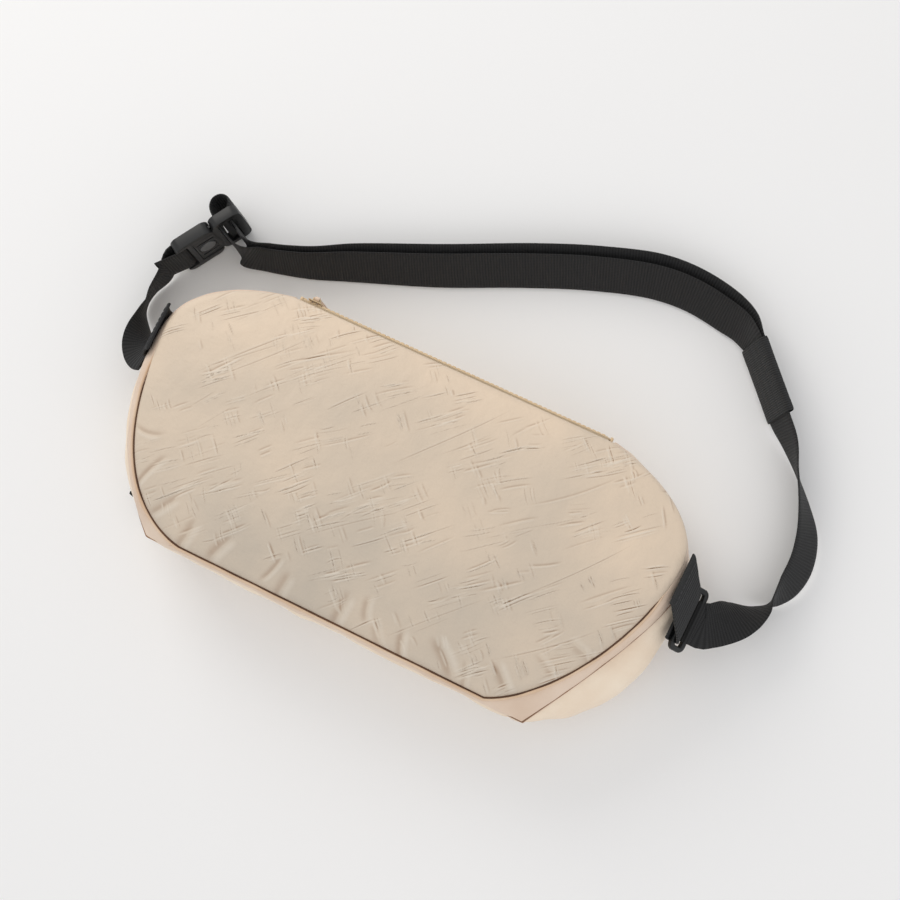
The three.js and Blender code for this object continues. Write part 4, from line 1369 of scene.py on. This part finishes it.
@dataclass
class Studio:
    """The camera, the pale floor and soft lights."""

    target: tuple[float, float, float] = (0, 0, 0.025)
    sideways: float = 11.0
    down: float = 3.0
    roll: float = 26.0
    distance: float = 1.0
    lens: float = 68.8
    shift: tuple[float, float] = (0.0563, 0.0597)

    def camera(self) -> None:
        """Look down on the bag, turned so that its length runs down to the right."""
        tau, eps, roll = (math.radians(a) for a in (self.sideways, self.down, self.roll))
        out = np.array([math.sin(tau) * math.cos(eps), -math.sin(eps),
                        math.cos(tau) * math.cos(eps)])
        level = np.array([math.cos(tau), 0, -math.sin(tau)])
        upright = np.cross(out, level)
        right = math.cos(roll) * level + math.sin(roll) * upright
        up = -math.sin(roll) * level + math.cos(roll) * upright
        data = bpy.data.cameras.new("camera")
        data.lens, data.sensor_width = self.lens, 36
        data.shift_x, data.shift_y = self.shift
        place = Matrix((right, up, out)).transposed().to_4x4()
        place.translation = Vector(self.target) + Vector(out) * self.distance
        bpy.context.scene.camera = placed("camera", data, place)

    def light(self, name: str, spot: Sequence[float], size: float, power: float,
              color: str) -> None:
        """Hang a square soft box that faces the bag."""
        data = bpy.data.lights.new(name, "AREA")
        data.shape, data.size, data.energy = "SQUARE", size, power
        data.color = linear(color)[:3]
        placed(name, data, Matrix.Translation(spot)
               @ Vector(spot).to_track_quat("Z", "Y").to_matrix().to_4x4())

    def build(self) -> None:
        """Lay the floor, light it and set the world."""
        bm = bmesh.new()
        bmesh.ops.create_grid(bm, x_segments=1, y_segments=1, size=4)
        mesh = written(bm, "floor")
        mesh.materials.append(Recipe("matt_white_paper").surface(
            Base_Color=linear("f4f4f4"), Roughness=0.95))
        placed("floor", mesh)
        self.light("key", (-1.1, 0.8, 0.9), 0.9, 7.6, "fffaf4")
        self.light("fill", (1.1, -0.9, 1.3), 1.4, 4.5, "fdfbff")
        world = bpy.data.worlds.new("studio")
        world.use_nodes = True
        color, strength = world.node_tree.nodes["Background"].inputs[:2]
        color.default_value, strength.default_value = linear("f6f6f6"), 0.8
        bpy.context.scene.world = world
        bpy.context.scene.view_settings.view_transform = "Standard"


def main() -> None:
    """Build the studio, the strap, the hardware and the bag."""
    logging.basicConfig(level=logging.INFO, format="%(message)s")
    studio = Studio()
    studio.camera()
    ring, buckle, keeper = Ring(), Buckle(), Keeper()
    Strap(ring, buckle, keeper).build()
    studio.build()
    ring.build()
    buckle.build()
    keeper.build()
    Tab("tab_right_folded", "tab_right", 1, [
        (165.8, 63.9), (168.4, 61), (172.4, 55), (176.6, 48), (178.1, 43.8), (177.6, 40.2),
        (175.4, 38.2), (172.8, 39.2), (171.6, 42.4), (171.4, 46.4)], 27, 10).build()
    Tab("tab_left_folded", "tab_left", -1, [
        (165.8, 63.9), (167.9, 61.4), (169.7, 57.2), (171.4, 52.4), (172.2, 48), (172.4, 45),
        (172, 42.6)], 31, 28, 5.6).build()
    Shell().build()
    Zip().build()


if __name__ == "__main__":
    main()
